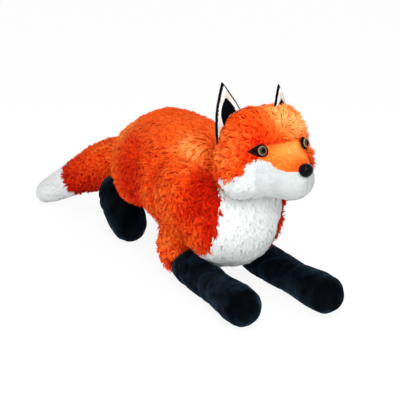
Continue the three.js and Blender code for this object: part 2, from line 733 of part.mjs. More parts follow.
// Nose: a rounded plastic knob on its own shank, set on the seam at the end of the muzzle.
const noseStart = new THREE.Vector3(headLength * noseFromShare - headBehindNeck, 0, noseZ);
const noseSeat = seatOnHead(noseStart, forward);
const noseKnob = solidOf(new THREE.SphereGeometry(1, roundSides, noseRings)
  .scale(noseWidth / 2, noseHeight / 2, noseDepth).applyMatrix4(noseSeat));
const noseShankRadius = shankDiameter / 2;
const noseShank = turned([[0, -shankLength], [noseShankRadius, -shankLength],
  [noseShankRadius, noseDepth / 2], [0, noseDepth / 2]], noseSeat, 0);
const noseCap = noseKnob.subtract(solidOf(skin(head, headFacets, fitGap)));
fittings.push(['nose', noseCap.add(noseShank), blackPlastic]);
fittings.push(['nose_washer', washerAt(noseSeat), washerPlastic]);
headCuts.push(shankHole(noseSeat));
fillCuts.push(washerPocket(noseSeat));

const headCover = cutAll(headParts.cover, [...headCuts, neckPlug(fillGap)]);
const cheekGrown = cheekRegion(seamGap);
addPiece(headGroup, 'head_cover',
  headCover.subtract(cheekGrown).subtract(sideRegion(muzzleSeamShares, seamGap)), orangePlush);
addPiece(headGroup, 'muzzle_top_cover',
  headCover.subtract(cheekGrown).intersect(sideRegion(muzzleSeamShares, 0)), shortPile);
addPiece(headGroup, 'cheek_jaw_cover', headCover.intersect(cheekRegion(0)), whitePlush);
addPiece(headGroup, 'head_stuffing', cutAll(headParts.fill.add(neckPlug(0)), fillCuts), fibreFill);
for (const [name, solid, material] of fittings) addPiece(headGroup, name, solid, material);

// Mouth: one embroidered line down the front of the muzzle, below the nose.
const muzzleCentre = vector(headLobeShares.at(-1).at).multiply(headSize).add(headBase);
const muzzleRadius = headLobeShares.at(-1).reach[0] * headLength;
const mouthFrom = Math.asin((noseZ - noseHeight / 2 - mouthDrop - muzzleCentre.z) / muzzleRadius);
const mouthPoints = Array.from({ length: mouthPointCount }, (_, index) => {
  const angle = mouthFrom - (index / (mouthPointCount - 1)) * (mouthLength / muzzleRadius);
  const direction = new THREE.Vector3(Math.cos(angle), 0, Math.sin(angle));
  const clear = mouthThread / 2 + mouthLift;
  return muzzleCentre.clone()
    .addScaledVector(direction, castToSurface(head.value, muzzleCentre, direction, clear));
});
const threadSection = new THREE.Shape(Array.from({ length: threadSides }, (_, index) => {
  const angle = (index / threadSides) * Math.PI * 2;
  return new THREE.Vector2(Math.cos(angle), Math.sin(angle)).multiplyScalar(mouthThread / 2);
}));
addPiece(headGroup, 'mouth_stitch', solidOf(new THREE.ExtrudeGeometry(threadSection,
  { steps: mouthSteps, bevelEnabled: false, extrudePath: new THREE.CatmullRomCurve3(mouthPoints) })), thread);

// Ears: a cupped leaf between two faces, its outline given by half widths from foot to tip.
function leaf(width, height, rise, halfWidthShares, depthFrom, depthTo) {
  const columns = 6;
  const rows = halfWidthShares.length - 1;
  const positions = [];
  const faces = [];
  for (const depth of [depthFrom, depthTo]) {
    for (let row = 0; row <= rows; row += 1) {
      for (let column = 0; column <= columns; column += 1) {
        const y = (column / columns - 1 / 2) * width * halfWidthShares[row];
        const z = rise + (row / rows) * height;
        const cupped = earCup * (1 - (2 * y / earWidth) ** 2);
        positions.push(depth - cupped - earLean * (z / earHeight) ** 2, y, z);
      }
    }
  }
  const layerCount = (rows + 1) * (columns + 1);
  const at = (layer, row, column) => layer * layerCount + row * (columns + 1) + column;
  const quad = (a, b, c, d) => faces.push(a, b, c, a, c, d);
  for (let row = 0; row < rows; row += 1) {
    for (let column = 0; column < columns; column += 1) {
      quad(at(1, row, column), at(1, row, column + 1), at(1, row + 1, column + 1), at(1, row + 1, column));
      quad(at(0, row, column), at(0, row + 1, column), at(0, row + 1, column + 1), at(0, row, column + 1));
    }
    quad(at(0, row, 0), at(1, row, 0), at(1, row + 1, 0), at(0, row + 1, 0));
    quad(at(0, row, columns), at(0, row + 1, columns), at(1, row + 1, columns), at(1, row, columns));
  }
  for (let column = 0; column < columns; column += 1) {
    quad(at(0, 0, column), at(0, 0, column + 1), at(1, 0, column + 1), at(1, 0, column));
    quad(at(0, rows, column), at(1, rows, column), at(1, rows, column + 1), at(0, rows, column + 1));
  }
  return indexedGeometry(positions, faces);
}

// Each ear stands on the head. The left one has flopped forward.
const headGrown = solidOf(skin(head, headFacets, seamGap));
const earTilts = { right: rightEarTilt, left: leftEarTilt };
const earNods = { right: 0, left: leftEarNod };
for (const [name, side] of sides) {
  const stand = new THREE.Matrix4().makeTranslation(onHead(earFootShare, side))
    .multiply(new THREE.Matrix4().makeRotationX(-side * radians(earTilts[name])))
    .multiply(new THREE.Matrix4().makeRotationY(radians(earNods[name])))
    .multiply(new THREE.Matrix4().makeRotationZ(side * radians(earTurn)));
  const liningFrom = earLayerGap;
  const patchFrom = liningFrom + earLayer + earLayerGap;
  const layers = [
    [`ear_back_${name}`, leaf(earWidth, earHeight, 0, earHalfWidthShares, -earLayer, 0), blackPlush],
    [`ear_lining_${name}`, leaf(earWidth - earRim, earHeight - earRim, 0, earHalfWidthShares,
      liningFrom, liningFrom + earLayer), creamPlush],
    [`ear_patch_${name}`, leaf(earPatchWidth, earPatchHeight, earPatchRise, patchHalfWidthShares,
      patchFrom, patchFrom + feltWall), blackPlush],
  ];
  for (const [layerName, geometry, material] of layers) {
    addPiece(headGroup, layerName, solidOf(geometry.applyMatrix4(stand)).subtract(headGrown), material);
  }
}

// The origin is the middle of the whole fox's footprint, on the floor.
fox.updateMatrixWorld(true);
const extent = new THREE.Box3().setFromObject(fox, true);
const middle = extent.getCenter(new THREE.Vector3());
fox.position.set(-middle.x, -middle.y, -extent.min.z);

export default fox;
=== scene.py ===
"""A large lying plush fox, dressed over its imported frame.

The stuffed forms are skins taken from the frame's solids, puffed as filled cloth, parted at their seams
and covered with pile. The pile is made of flat tapering blades, gathered into small curled locks.
"""

import math

import bmesh
import bpy
import numpy as np
from bpy.props import FloatProperty, FloatVectorProperty, IntProperty, PointerProperty
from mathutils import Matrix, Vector


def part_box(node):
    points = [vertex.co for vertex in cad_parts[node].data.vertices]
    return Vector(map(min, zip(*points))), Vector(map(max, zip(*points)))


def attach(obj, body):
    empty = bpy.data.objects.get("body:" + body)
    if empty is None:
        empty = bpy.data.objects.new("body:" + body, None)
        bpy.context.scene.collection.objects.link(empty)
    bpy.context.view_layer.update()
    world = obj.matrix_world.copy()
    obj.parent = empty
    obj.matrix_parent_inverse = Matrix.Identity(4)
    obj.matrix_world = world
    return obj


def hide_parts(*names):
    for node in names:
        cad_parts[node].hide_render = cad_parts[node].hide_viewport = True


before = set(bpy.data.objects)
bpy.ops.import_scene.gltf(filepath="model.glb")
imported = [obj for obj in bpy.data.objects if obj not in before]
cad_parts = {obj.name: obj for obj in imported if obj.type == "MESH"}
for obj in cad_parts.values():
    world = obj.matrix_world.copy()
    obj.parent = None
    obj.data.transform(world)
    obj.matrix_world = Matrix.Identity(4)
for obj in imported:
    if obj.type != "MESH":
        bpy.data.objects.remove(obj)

bl_info = {
    "name": "Plush fox",
    "version": (1, 0, 0),
    "blender": (4, 5, 0),
    "location": "View3D > Sidebar > Plush fox",
    "description": "Sews, stuffs and combs a lying plush fox over its frame",
    "category": "Add Mesh",
}

MM = 0.001
SIDES = ("right", "left")

# Points that are nearer to each other are made one
WELD = 0.02 * MM

# Filling the cloth: its pressure and frames, and how deep the legs' skin lies, which has next to no pile
PRESSURE = 4
FILL_STEPS = 20
LEG_INSET = 0.3 * MM

# Rounds of smoothing that take a grid's steps out of the furry forms, the smooth ones, the ears and the felt
FURRY_ROUNDS, SMOOTH_ROUNDS, EAR_ROUNDS, FELT_ROUNDS = 30, 20, 6, 4

# Pile: the painted light on a blade's points by their height from its root to its tip, which leaves the root
# in painted shade, how far its middle bulges as a share of its length, how far its root goes into the cloth,
# and the least height of a tip over the floor
BLADE_TIP_LIGHT = (0, 0, 0.6, 0.6, 1.0)
BULGE = 0.14
ROOT_DEPTH = 0.6 * MM
FLOOR_GAP = 0.3 * MM
BLADE_POINTS = len(BLADE_TIP_LIGHT)

# The face: how far pile stays from the felt and the nose's middle, and from an eye's as a share of the eye
FELT_GAP = 0.8 * MM
NOSE_GAP = 11 * MM
EYE_GAP = 0.56

# The ears: how wide the black shows on the lining, and the rows that an ear's edges are found in
OUTER_TRIM = 3.6 * MM
INNER_TRIM = 1.2 * MM
EDGE_ROW = 3 * MM

# The distance between creases on the legs, and how far an eye goes on below its dome
CREASE_SPACING = 34 * MM
EYE_RIM = 1 * MM

# The camera that the photograph's outline gives, in metres, degrees and millimetres of lens, and the
# photograph's side and the camera's shift in pixels
CAMERA_TARGET = (0.03578, 0.01897, 0.115)
CAMERA_AZIMUTH, CAMERA_ELEVATION = 65, 16.5
CAMERA_DISTANCE = 1.55
CAMERA_LENS, CAMERA_SENSOR = 81.6, 36
PHOTO_SIDE = 400
PHOTO_SHIFT = (17, -10)

# Each lamp's name, place, width and power, and what they all point at
LAMPS = (
    ("key_lamp", (1.3, -0.6, 2.2), 0.9, 17.0),
    ("fill_lamp", (1.9, -1.5, 0.5), 1.6, 12.5),
    ("catch_lamp", (1.35, -0.35, 0.95), 0.5, 8.0),
)
LAMP_TARGET = (0.05, 0, 0.12)
ROOM_LIGHT = 0.93

# Half the floor's width in metres, how far it lies below the part, and its share of white where it shows
FLOOR_REACH = 30.0
FLOOR_DROP = 0.2 * MM
FLOOR_GLOW = 0.9

# The finish of every material slot
FINISHES = {
    "orange_plush": "polyester_long_pile_orange",
    "white_plush": "polyester_pile_white",
    "short_pile_plush": "short_pile_plush_muzzle",
    "cream_plush": "short_pile_plush_cream",
    "black_velour": "polyester_velour_black",
    "felt": "wool_felt_dark",
    "amber_plastic": "acrylic_safety_eye",
    "black_plastic": "moulded_nose_black",
    "washer_plastic": "moulded_washer",
    "thread": "rayon_thread_grey",
}


def linear(code):
    """A colour written as sRGB hex, turned to the linear values that a shader takes."""
    parts = np.array([int(code[i : i + 2], 16) / 255 for i in (1, 3, 5)])
    low = parts / 12.92
    high = ((parts + 0.055) / 1.055) ** 2.4
    return tuple(float(x) for x in np.where(parts <= 0.04045, low, high))


def colour(name, code, description):
    """A colour that a user can change, with its default written as sRGB hex."""
    return FloatVectorProperty(
        name=name, description=description, subtype="COLOR", size=3, min=0, max=1, default=linear(code)
    )


def length(name, millimetres, description):
    """A length that a user can change, with its default in millimetres."""
    return FloatProperty(
        name=name, description=description, default=millimetres * MM, min=0, unit="LENGTH"
    )


class FoxSizes(bpy.types.PropertyGroup):
    """Sizes of the cloth, the pile and the eyes."""

    weave: length("Cloth grid", 5.0, "Grid spacing of the large furry forms")
    fine_weave: length("Fine cloth grid", 3.2, "Grid spacing of the small or smooth forms")
    ear_weave: length("Ear grid", 1.1, "Grid spacing of the thin ear layers and the felt")
    inset: length("Backing inset", 1.5, "How far cloth with the shortest pile lies inside the outline")
    puff: length("Puff", 4.0, "How far the stuffing may push the cloth out")
    long_pile: length("Long pile", 13.0, "Length of the orange pile")
    chest_pile: length("Chest pile", 9.0, "Length of the white pile on the chest and the tail tip")
    short_pile: length("Short pile", 3.0, "Length of the pile on the muzzle")
    blade: length("Blade width", 1.3, "Width of a blade's root: coarser than a real fibre, so that it shows")
    lock: length("Lock spacing", 5.0, "Distance between the curled locks of the long pile")
    seam: length("Seam depth", 1.4, "How deep a seam pulls the cloth in")
    seam_width: length("Seam width", 6.0, "How far from a seam the cloth is drawn in")
    eye: length("Eye", 15.0, "Diameter of an eye")
    eye_height: length("Eye height", 6.0, "Height of an eye's dome")
    wrinkle: length("Wrinkle depth", 3.0, "Depth of the creases across the velour legs")
    sink: FloatProperty(
        name="Backing sink", description="Share of its pile's length that cloth lies deeper", default=0.32,
        min=0, max=1,
    )
    density: FloatProperty(
        name="Pile density", description="Blades for each square millimetre of long pile",
        default=0.36, min=0.01, max=1.0,
    )
    seed: IntProperty(name="Seed", description="Start of every random draw", default=11, min=0)


class FoxColours(bpy.types.PropertyGroup):
    """Colours of the fabrics and plastics."""

    # Painted shade: the roots and the deep pile darken the orange pile at its roots, in its hollows and where
    # its tone is painted darker
    roots: colour("Roots", "#A01002", "Roots of the orange pile in its deepest folds")
    deep: colour("Deep pile", "#D01C04", "Hollows of the orange pile")
    mid: colour("Red pile", "#FB440C", "Redder part of the orange pile")
    bright: colour("Orange pile", "#FF661A", "Most tips of the orange pile")
    light: colour("Light pile", "#FF8C38", "Brightest tips of the orange pile")
    # Painted highlight: gold is light painted on the tips where the pile catches it, on the shoulder, the rump
    # and the lit side of the forehead
    gold: colour("Golden pile", "#FFC878", "Tips where the pile is brushed flat and catches the light")
    # Painted light and shade: one pile, painted lighter along the muzzle's crown and darker down its sides
    muzzle: colour("Muzzle", "#FFB056", "Short pile along the crown of the muzzle")
    muzzle_side_shade: colour("Muzzle side", "#FF7C2C", "The same pile down the muzzle's sides")
    # Painted shade: the white roots grey the white pile at its roots, between its locks and down the muzzle's
    # sides
    white: colour("White pile", "#E4E7E6", "White pile")
    white_shade: colour("White roots", "#BEC3C2", "Roots of the white pile")
    cream: colour("Ear lining", "#FFF4E0", "Cream lining of the ears")
    velour: colour("Velour", "#020305", "Black velour")
    velour_sheen: colour("Velour sheen", "#5C86AC", "Light that black velour gives back at its edges")
    felt: colour("Felt", "#1C0D08", "Dark felt round the eyes")
    iris: colour("Iris", "#967C5C", "Amber ring of the eyes")
    plastic: colour("Black plastic", "#020203", "Moulded nose and pupils")


def sizes():
    return bpy.context.scene.fox_sizes


def colours():
    return bpy.context.scene.fox_colours


def draws(salt):
    """A seeded source of random numbers, one for each use."""
    return np.random.default_rng([sizes().seed, salt])


# Reading and making meshes as whole arrays


def read(rows, label, width, kind=np.float32):
    """What every row of a mesh holds under a label, as an array."""
    found = np.empty(len(rows) * width, kind)
    rows.foreach_get(label, found)
    return found.reshape(-1, width)


def vertices_of(mesh):
    return read(mesh.vertices, "co", 3).astype(float)


def normals_of(mesh):
    return read(mesh.vertex_normals, "vector", 3).astype(float)


def edges_of(mesh):
    return read(mesh.edges, "vertices", 2, np.int32)


def squares_of(mesh):
    """The faces of a grid of squares."""
    return read(mesh.loops, "vertex_index", 1, np.int32).reshape(-1, 4)


def give_values(mesh, label, values):
    """Keeps one value for each point, which a material reads."""
    mesh.attributes.new(label, "FLOAT", "POINT").data.foreach_set("value", values.astype(np.float32))


def how_long(vectors):
    return np.linalg.norm(vectors, axis=-1)


def unit(vectors):
    return vectors / np.maximum(how_long(vectors), 1e-12)[..., None]


def along_surface(vectors, normals):
    """Vectors without their share along the normals."""
    return vectors - (vectors * normals).sum(-1, keepdims=True) * normals


def mesh_from(name, points, *faces):
    """A mesh from its points and one or more arrays of faces."""
    mesh = bpy.data.meshes.new(name)
    mesh.from_pydata(points.tolist(), [], [face for rows in faces for face in rows.tolist()])
    mesh.update()
    return mesh


def object_from(name, mesh):
    made = bpy.data.objects.new(name, mesh)
    bpy.context.scene.collection.objects.link(made)
    return made


def drop(made):
    mesh = made.data
    bpy.data.objects.remove(made)
    if mesh.users == 0:
        bpy.data.meshes.remove(mesh)


def worked(made):
    """The points, edges and squares of an object once its modifiers are worked in."""
    graph = bpy.context.evaluated_depsgraph_get()
    graph.update()
    mesh = bpy.data.meshes.new_from_object(made.evaluated_get(graph))
    found = vertices_of(mesh), edges_of(mesh), squares_of(mesh)
    bpy.data.meshes.remove(mesh)
    return found


def closest_on(points, target, mode="ON_SURFACE"):
    """For every point the nearest place on a mesh object, found by wrapping the points onto it."""
    wrapped = object_from("wrapped", mesh_from("wrapped", points))
    wrap = wrapped.modifiers.new("wrap", "SHRINKWRAP")
    wrap.wrap_method = "NEAREST_SURFACEPOINT"
    wrap.wrap_mode = mode
    wrap.target = target
    found = worked(wrapped)[0]
    drop(wrapped)
    return found


def distance_to(points, target):
    return how_long(closest_on(points, target) - points)


def inside(points, target):
    """Which points lie inside a closed mesh object: those that have to move to be outside it."""
    return how_long(closest_on(points, target, "OUTSIDE") - points) > 1e-7


# Stuffed forms


def merged_copy(name, *meshes, outward=False):
    """A new object that holds copies of some meshes, with points that fall together made one.

    A surface of revolution has its faces turned outward too. The frame's solids have theirs so already.
    """
    joined = bmesh.new()
    for mesh in meshes:
        joined.from_mesh(mesh)
    bmesh.ops.remove_doubles(joined, verts=joined.verts, dist=WELD)
    if outward:
        bmesh.ops.recalc_face_normals(joined, faces=joined.faces)
    mesh = bpy.data.meshes.new(name)
    joined.to_mesh(mesh)
    joined.free()
    return object_from(name, mesh)


def gridded(name, nodes, spacing):
    """The outer skin of some solids as an even grid of squares, and nothing of what they hold.

    Every point takes the lowest number among its neighbours until none changes, so that an island has one
    number, and the island with the most points is the skin.
    """
    source = merged_copy(name, *(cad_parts[node].data for node in nodes))
    remesh = source.modifiers.new("grid", "REMESH")
    remesh.mode = "VOXEL"
    remesh.voxel_size = spacing
    points, edges, faces = worked(source)
    drop(source)
    island, before = np.arange(len(points)), None
    while not np.array_equal(island, before):
        before = island.copy()
        lowest = island[edges].min(1)
        for end in edges.T:
            np.minimum.at(island, end, lowest)
        island = island[island]
    kept = island == np.bincount(island).argmax()
    number = np.cumsum(kept) - 1
    return object_from(name, mesh_from(name, points[kept], number[faces[kept[faces[:, 0]]]]))


def neighbour_mean(values, edges):
    """The mean of every point's neighbours, for one value or three at each point."""
    ends = np.concatenate([edges, edges[:, ::-1]])
    count = np.maximum(np.bincount(ends[:, 0], minlength=len(values)), 1)
    columns = values.reshape(len(values), -1).T
    sums = [np.bincount(ends[:, 0], column[ends[:, 1]], len(values)) / count for column in columns]
    return np.stack(sums, 1).reshape(values.shape)


def blurred(values, edges, rounds):
    """Values spread over the surface: each becomes half its own and half its neighbours' mean."""
    for _ in range(rounds):
        values = (values + neighbour_mean(values, edges)) / 2
    return values


def above(points, height):
    """Points with none of them lower than a height."""
    return np.concatenate([points[:, :2], np.maximum(points[:, 2:], height)], 1)


def set_points(mesh, points):
    mesh.vertices.foreach_set("co", points.astype(np.float32).ravel())
    mesh.update()


def even_out(made, rounds):
    """Moves points toward their neighbours' middle and part of the way back, so that nothing shrinks."""
    points, edges = vertices_of(made.data), edges_of(made.data)
    for _ in range(rounds):
        for share in (0.5, -0.52):
            points = points + share * (neighbour_mean(points, edges) - points)
    set_points(made.data, points)


def puffed(skins, cap):
    """Fills cloth under pressure for a few frames. No point moves further than the cap."""
    starts = {}
    for skin in skins:
        starts[skin] = vertices_of(skin.data)
        cloth = skin.modifiers.new("fill", "CLOTH")
        settings = cloth.settings
        settings.quality = 4
        settings.use_pressure = True
        settings.uniform_pressure_force = PRESSURE
        settings.effector_weights.gravity = 0
        cloth.collision_settings.use_collision = False
        cloth.point_cache.frame_end = FILL_STEPS
    scene = bpy.context.scene
    for step in range(1, FILL_STEPS + 1):
        scene.frame_set(step)
    for skin in skins:
        moved = worked(skin)[0] - starts[skin]
        skin.modifiers.clear()
        share = np.minimum(1, cap / np.maximum(how_long(moved), 1e-9))
        set_points(skin.data, starts[skin] + moved * share[:, None])
    scene.frame_set(1)


def settle(skin, solid, inset):
    """Moves a skin along its normals until its depth under the solid, evened out, is the inset."""
    edges = edges_of(skin.data)
    for _ in range(3):
        points = vertices_of(skin.data)
        depth = distance_to(points, solid)
        depth = np.where(inside(points, solid), depth, -depth)
        points = points + normals_of(skin.data) * blurred(depth - inset, edges, 6)[:, None]
        set_points(skin.data, above(points, 0))


def parted(skin, panels):
    """Parts a skin into panels along its seams.

    A face belongs to the panel whose solid is nearest to its middle. Points where panels meet slide
    until they are as far from the one solid as from the other. The cloth sinks by a share of the
    length of its own pile, spread over the surface, and is drawn in at a seam by a bell curve of the
    distance from it. Returns each panel's points, normals, faces and distances from the seam.
    """
    s = sizes()
    mesh = skin.data
    solids = [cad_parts[name] for name in panels]
    points, edges, faces = vertices_of(mesh), edges_of(mesh), squares_of(mesh)

    def nearest_to(places):
        return np.stack([closest_on(places, solid) for solid in solids])

    middles = points[faces].mean(1)
    owner = how_long(nearest_to(middles) - middles).argmin(0)
    touch = np.zeros((len(solids), len(points)), bool)
    for index in range(len(solids)):
        touch[index, faces[owner == index]] = True
    seam = touch.sum(0) > 1
    for _ in range(3):
        normals = normals_of(mesh)[seam]
        here = points[seam]
        nearest = nearest_to(here)
        near = how_long(nearest - here)
        near[~touch[:, seam]] = np.inf
        order = np.argsort(near, axis=0)
        each = np.arange(len(here))
        toward = along_surface(nearest[order[1], each] - here, normals)
        points[seam] = here + unit(toward) * ((near[order[1], each] - near[order[0], each]) / 2)[:, None]
        set_points(mesh, points)
    ranked = np.sort(how_long(nearest_to(points) - points), axis=0)
    gap = np.where(seam, 0, (ranked[1] - ranked[0]) / 2)
    lengths = np.max([np.where(on, pile(points), 0) for on, pile in zip(touch, panels.values())], axis=0)
    sink = blurred(np.maximum(lengths - s.short_pile, 0) * s.sink, edges, 8)
    drawn = s.seam * np.exp(-((gap * 2 / s.seam_width) ** 2))
    points = above(points - normals_of(mesh) * (sink + drawn)[:, None], 0)
    set_points(mesh, points)
    normals = normals_of(mesh)
    pieces = {}
    for index, (name, used) in enumerate(zip(panels, touch)):
        number = np.cumsum(used) - 1
        pieces[name] = (points[used], normals[used], number[faces[owner == index]], gap[used])
    return pieces


# Pile


def shuffled(cells, salt):
    """Three numbers from 0 to 1 for each whole-numbered cell of space, always the same ones.

    Each is the fraction of a sine that has been stretched far over 1. The multipliers only have to be
    unlike one another.
    """
    spread = np.array([127.1, 311.7, 74.7])
    turns = np.array([269.5, 183.3, 246.1])
    base = cells @ spread + salt * 17.31
    found = np.sin(base[..., None] * (1 + turns / 1000) + turns) * 43758.5453
    return found - np.floor(found)


def locks_of(points, spacing, salt):
    """The nearest of one scattered place in each cell of space, and three numbers that go with it."""
    steps = np.array([(i, j, k) for i in (-1, 0, 1) for j in (-1, 0, 1) for k in (-1, 0, 1)])
    cell = np.floor(points / spacing)
    best = np.full(len(points), np.inf)
    centre = np.zeros_like(points)
    mark = np.zeros_like(points)
    for step in steps:
        place = (cell + step + shuffled(cell + step, salt)) * spacing
        far = ((place - points) ** 2).sum(1)
        nearer = far < best
        best = np.where(nearer, far, best)
        centre[nearer] = place[nearer]
        mark[nearer] = shuffled((cell + step)[nearer], salt + 5)
    return centre, mark


def waves(points, span, salt):
    """A smooth value from about -1 to 1 that drifts over a span: three sine waves that cross."""
    turn = draws(salt).normal(size=(3, 3))
    phase = draws(salt + 1).uniform(0, 6.28, 3)
    return np.sin(points @ (unit(turn).T * (2 * math.pi / span)) + phase).mean(1) * 1.6


def drift(points, span, salt):
    """A direction that drifts over a span: a wave for each axis."""
    return np.stack([waves(points, span, salt + axis) for axis in range(3)], 1)


def pile_of(panel, look, salt):
    """Blades of pile on a panel.

    Each blade is a strip of a square and a triangle. It starts at a random place on the cloth, leans
    the way that the pile is combed, and bends at half its length. Its tip is drawn toward the tip of
    its lock, and all blades of a lock curl the same way. Its shading follows the cloth, rounded over
    each lock. Its colour holds painted shade: at the root, toward the gaps between locks and along the
    seams. A rough pile has looser locks with deeper painted shade in their gaps than a flat one.
    """
    points, normals, faces, gap = panel
    random = draws(salt)
    tris = faces[:, [0, 1, 2, 0, 2, 3]].reshape(-1, 3)
    a, b, c = (points[tris[:, i]] for i in range(3))
    worth = how_long(np.cross(b - a, c - a)) / 2
    count = int(worth.sum() * look["density"] / MM**2)
    chosen = np.searchsorted(np.cumsum(worth), random.uniform(0, worth.sum(), count)).clip(0, len(tris) - 1)
    s, t = random.uniform(size=(2, count))
    s, t = np.where(s + t > 1, 1 - s, s), np.where(s + t > 1, 1 - t, t)
    weight = np.stack([1 - s - t, s, t], 1)
    corner = tris[chosen]
    root = (points[corner] * weight[..., None]).sum(1)
    normal = unit((normals[corner] * weight[..., None]).sum(1))
    seam = (gap[corner] * weight).sum(1)
    rough = look["rough"](root)[:, None]
    comb = unit(along_surface(look["flow"](root), normal))
    centre, mark = locks_of(root, look["lock"], salt)
    flat = root + along_surface(centre - root, normal)
    across = np.cross(normal, comb)
    swirl = (mark[:, :1] - 0.5) * 2 * look["swirl"] * rough
    lean = look["lean"] + (mark[:, 1:2] - 0.5) * 0.5 * rough + (1 - rough) * 0.2
    long = look["length"](root)[:, None] * random.uniform(0.8, 1.1, (count, 1))
    aim = unit(normal * np.cos(lean) + unit(comb + across * swirl) * np.sin(lean))
    loose = random.normal(size=(count, 3)) * look["stray"]
    tip = root + unit(aim + loose) * long
    tip += (flat + aim * long - tip) * look["gather"] * rough
    tip = above(tip, FLOOR_GAP)
    side = unit(np.cross(tip - root, normal)) * look["width"]
    curl = unit(np.cross(aim, normal)) * (mark[:, 2:] - 0.5) * long * look["crimp"] * rough
    middle = (root + tip) / 2 + curl + normal * long * BULGE
    root = root - normal * ROOT_DEPTH
    thick = random.uniform(0.8, 1.2, (count, 1)) / 2
    blades = np.stack(
        [root - side * thick, root + side * thick, middle - side * thick, middle + side * thick, tip], 1
    )
    off = (root - flat) / look["lock"]
    # Painted shade: blades toward a lock's edge, and all the blades of some locks, get less painted tip light
    edge = np.clip((off**2).sum(1, keepdims=True) * 2.4, 0, 1)
    round_over = unit(normal + off * look["relief"] * rough + aim * 0.2)
    rise = np.array(BLADE_TIP_LIGHT) * (1 - look["painted_gap_shade"] * edge * rough)
    rise = rise * (1 - look["painted_gap_shade"] * 0.6 * (1 - mark[:, 1:2]) * rough)
    tone = look["tone"](root) + (mark[:, 2] - 0.5) * look["mottle"] * rough[:, 0]
    tone = tone + random.normal(size=count) * look["mottle"] * 0.12
    tone = tone - look["seam_shade"] * np.exp(-((seam / (6 * MM)) ** 2))
    kept = look["keep"](root, tip)
    return {
        "points": blades[kept].reshape(-1, 3),
        "normals": np.repeat(round_over[kept], BLADE_POINTS, 0),
        "rise": rise[kept].ravel(),
        "tone": np.repeat(tone[kept], BLADE_POINTS),
        "count": int(kept.sum()),
    }


def dressed(name, points, normals, faces, pile, tone):
    """One mesh of a panel's cloth and its pile, with the values and the map that its material reads.

    Every face of the cloth and every blade has a square of its own in the map, so that both are baked
    at an even scale.
    """
    count = pile["count"]
    start = len(points)
    first = start + np.arange(count)[:, None] * BLADE_POINTS
    all_points = np.concatenate([points, pile["points"]])
    mesh = mesh_from(name, all_points, faces, first + (0, 1, 3, 2), first + (2, 3, 4))
    # The cloth has no painted light: it takes the painted shade of the pile's roots
    give_values(mesh, "rise", np.concatenate([np.zeros(start), pile["rise"]]))
    give_values(mesh, "tone", np.concatenate([tone, pile["tone"]]))
    across = math.ceil(math.sqrt(len(faces) + count))
    cell = np.arange(len(faces) + count)
    corner = np.stack([cell % across, cell // across], 1)[:, None]
    angle = (np.arange(4) + 0.5) * math.pi / 2
    cloth = corner[: len(faces)] + 0.5 + 0.45 * np.stack([np.cos(angle), np.sin(angle)], 1)
    blade = corner[len(faces) :]
    square = blade + np.array([(0.1, 0.08), (0.9, 0.08), (0.9, 0.5), (0.1, 0.5)])
    tip = blade + np.array([(0.1, 0.5), (0.9, 0.5), (0.5, 0.95)])
    uv = np.concatenate([part.reshape(-1, 2) for part in (cloth, square, tip)]) / across
    layer = mesh.uv_layers.new(name="OFBake", do_init=False)
    layer.uv.foreach_set("vector", uv.astype(np.float32).ravel())
    mesh.shade_smooth()
    mesh.normals_split_custom_set_from_vertices(np.concatenate([normals, pile["normals"]]).tolist())
    return object_from(name, mesh)


# Materials


def add_node(tree, kind, sockets=None, stops=(), out=0, **settings):
    """Adds a node with its settings and links, and gives back one of its outputs.

    Settings are its own properties. A socket, by name or number, takes another node's output or a plain
    value. Stops are the places and colours that a colour ramp runs through.
    """
    node = tree.nodes.new(kind)
    for key, value in settings.items():
        setattr(node, key, value)
    for key, value in (sockets or {}).items():
        if isinstance(value, bpy.types.NodeSocket):
            tree.links.new(value, node.inputs[key])
        else:
            node.inputs[key].default_value = value
    for index, (place, value) in enumerate(stops):
        if index > 1:
            node.color_ramp.elements.new(place)
        node.color_ramp.elements[index].position = place
        node.color_ramp.elements[index].color = opaque(value)
    return node.outputs[out] if node.outputs else None


def new_material(name, surface):
    """A material whose surface is the output that a function gives when it has added its nodes."""
    material = bpy.data.materials.new(name)
    material.use_nodes = True
    tree = material.node_tree
    tree.nodes.clear()
    add_node(tree, "ShaderNodeOutputMaterial", {"Surface": surface(tree)})
    return material


def opaque(value):
    return (*value, 1.0)


def scaled(value, share):
    return [min(1.0, x * share) for x in value]


def long_pile(tree):
    """Polyester long pile plush: matt, with painted shade deep between the locks and at the roots, glowing
    where its tips part the light.
    """
    c = colours()
    tone, rise = (
        add_node(tree, "ShaderNodeAttribute", out="Fac", attribute_name=label) for label in ("tone", "rise")
    )
    # Painted shade at the roots: the dark ramp, mixed into the tips' ramp by the painted tip light
    low = add_node(tree, "ShaderNodeValToRGB", {0: tone}, [(0.0, c.roots), (0.5, c.deep), (1.0, c.bright)])
    high = add_node(tree, "ShaderNodeValToRGB", {0: tone}, [
        (0.0, c.deep), (0.25, c.mid), (0.5, c.bright), (0.75, c.light), (1.0, c.gold),
    ])
    shade = add_node(tree, "ShaderNodeMix", {0: rise, 6: low, 7: high}, out=2, data_type="RGBA")
    return add_node(tree, "ShaderNodeBsdfPrincipled", {
        "Base Color": shade, "Sheen Tint": shade, "Roughness": 0.9, "Sheen Weight": 0.15,
        "Sheen Roughness": 0.6, "Specular IOR Level": 0.05,
    })


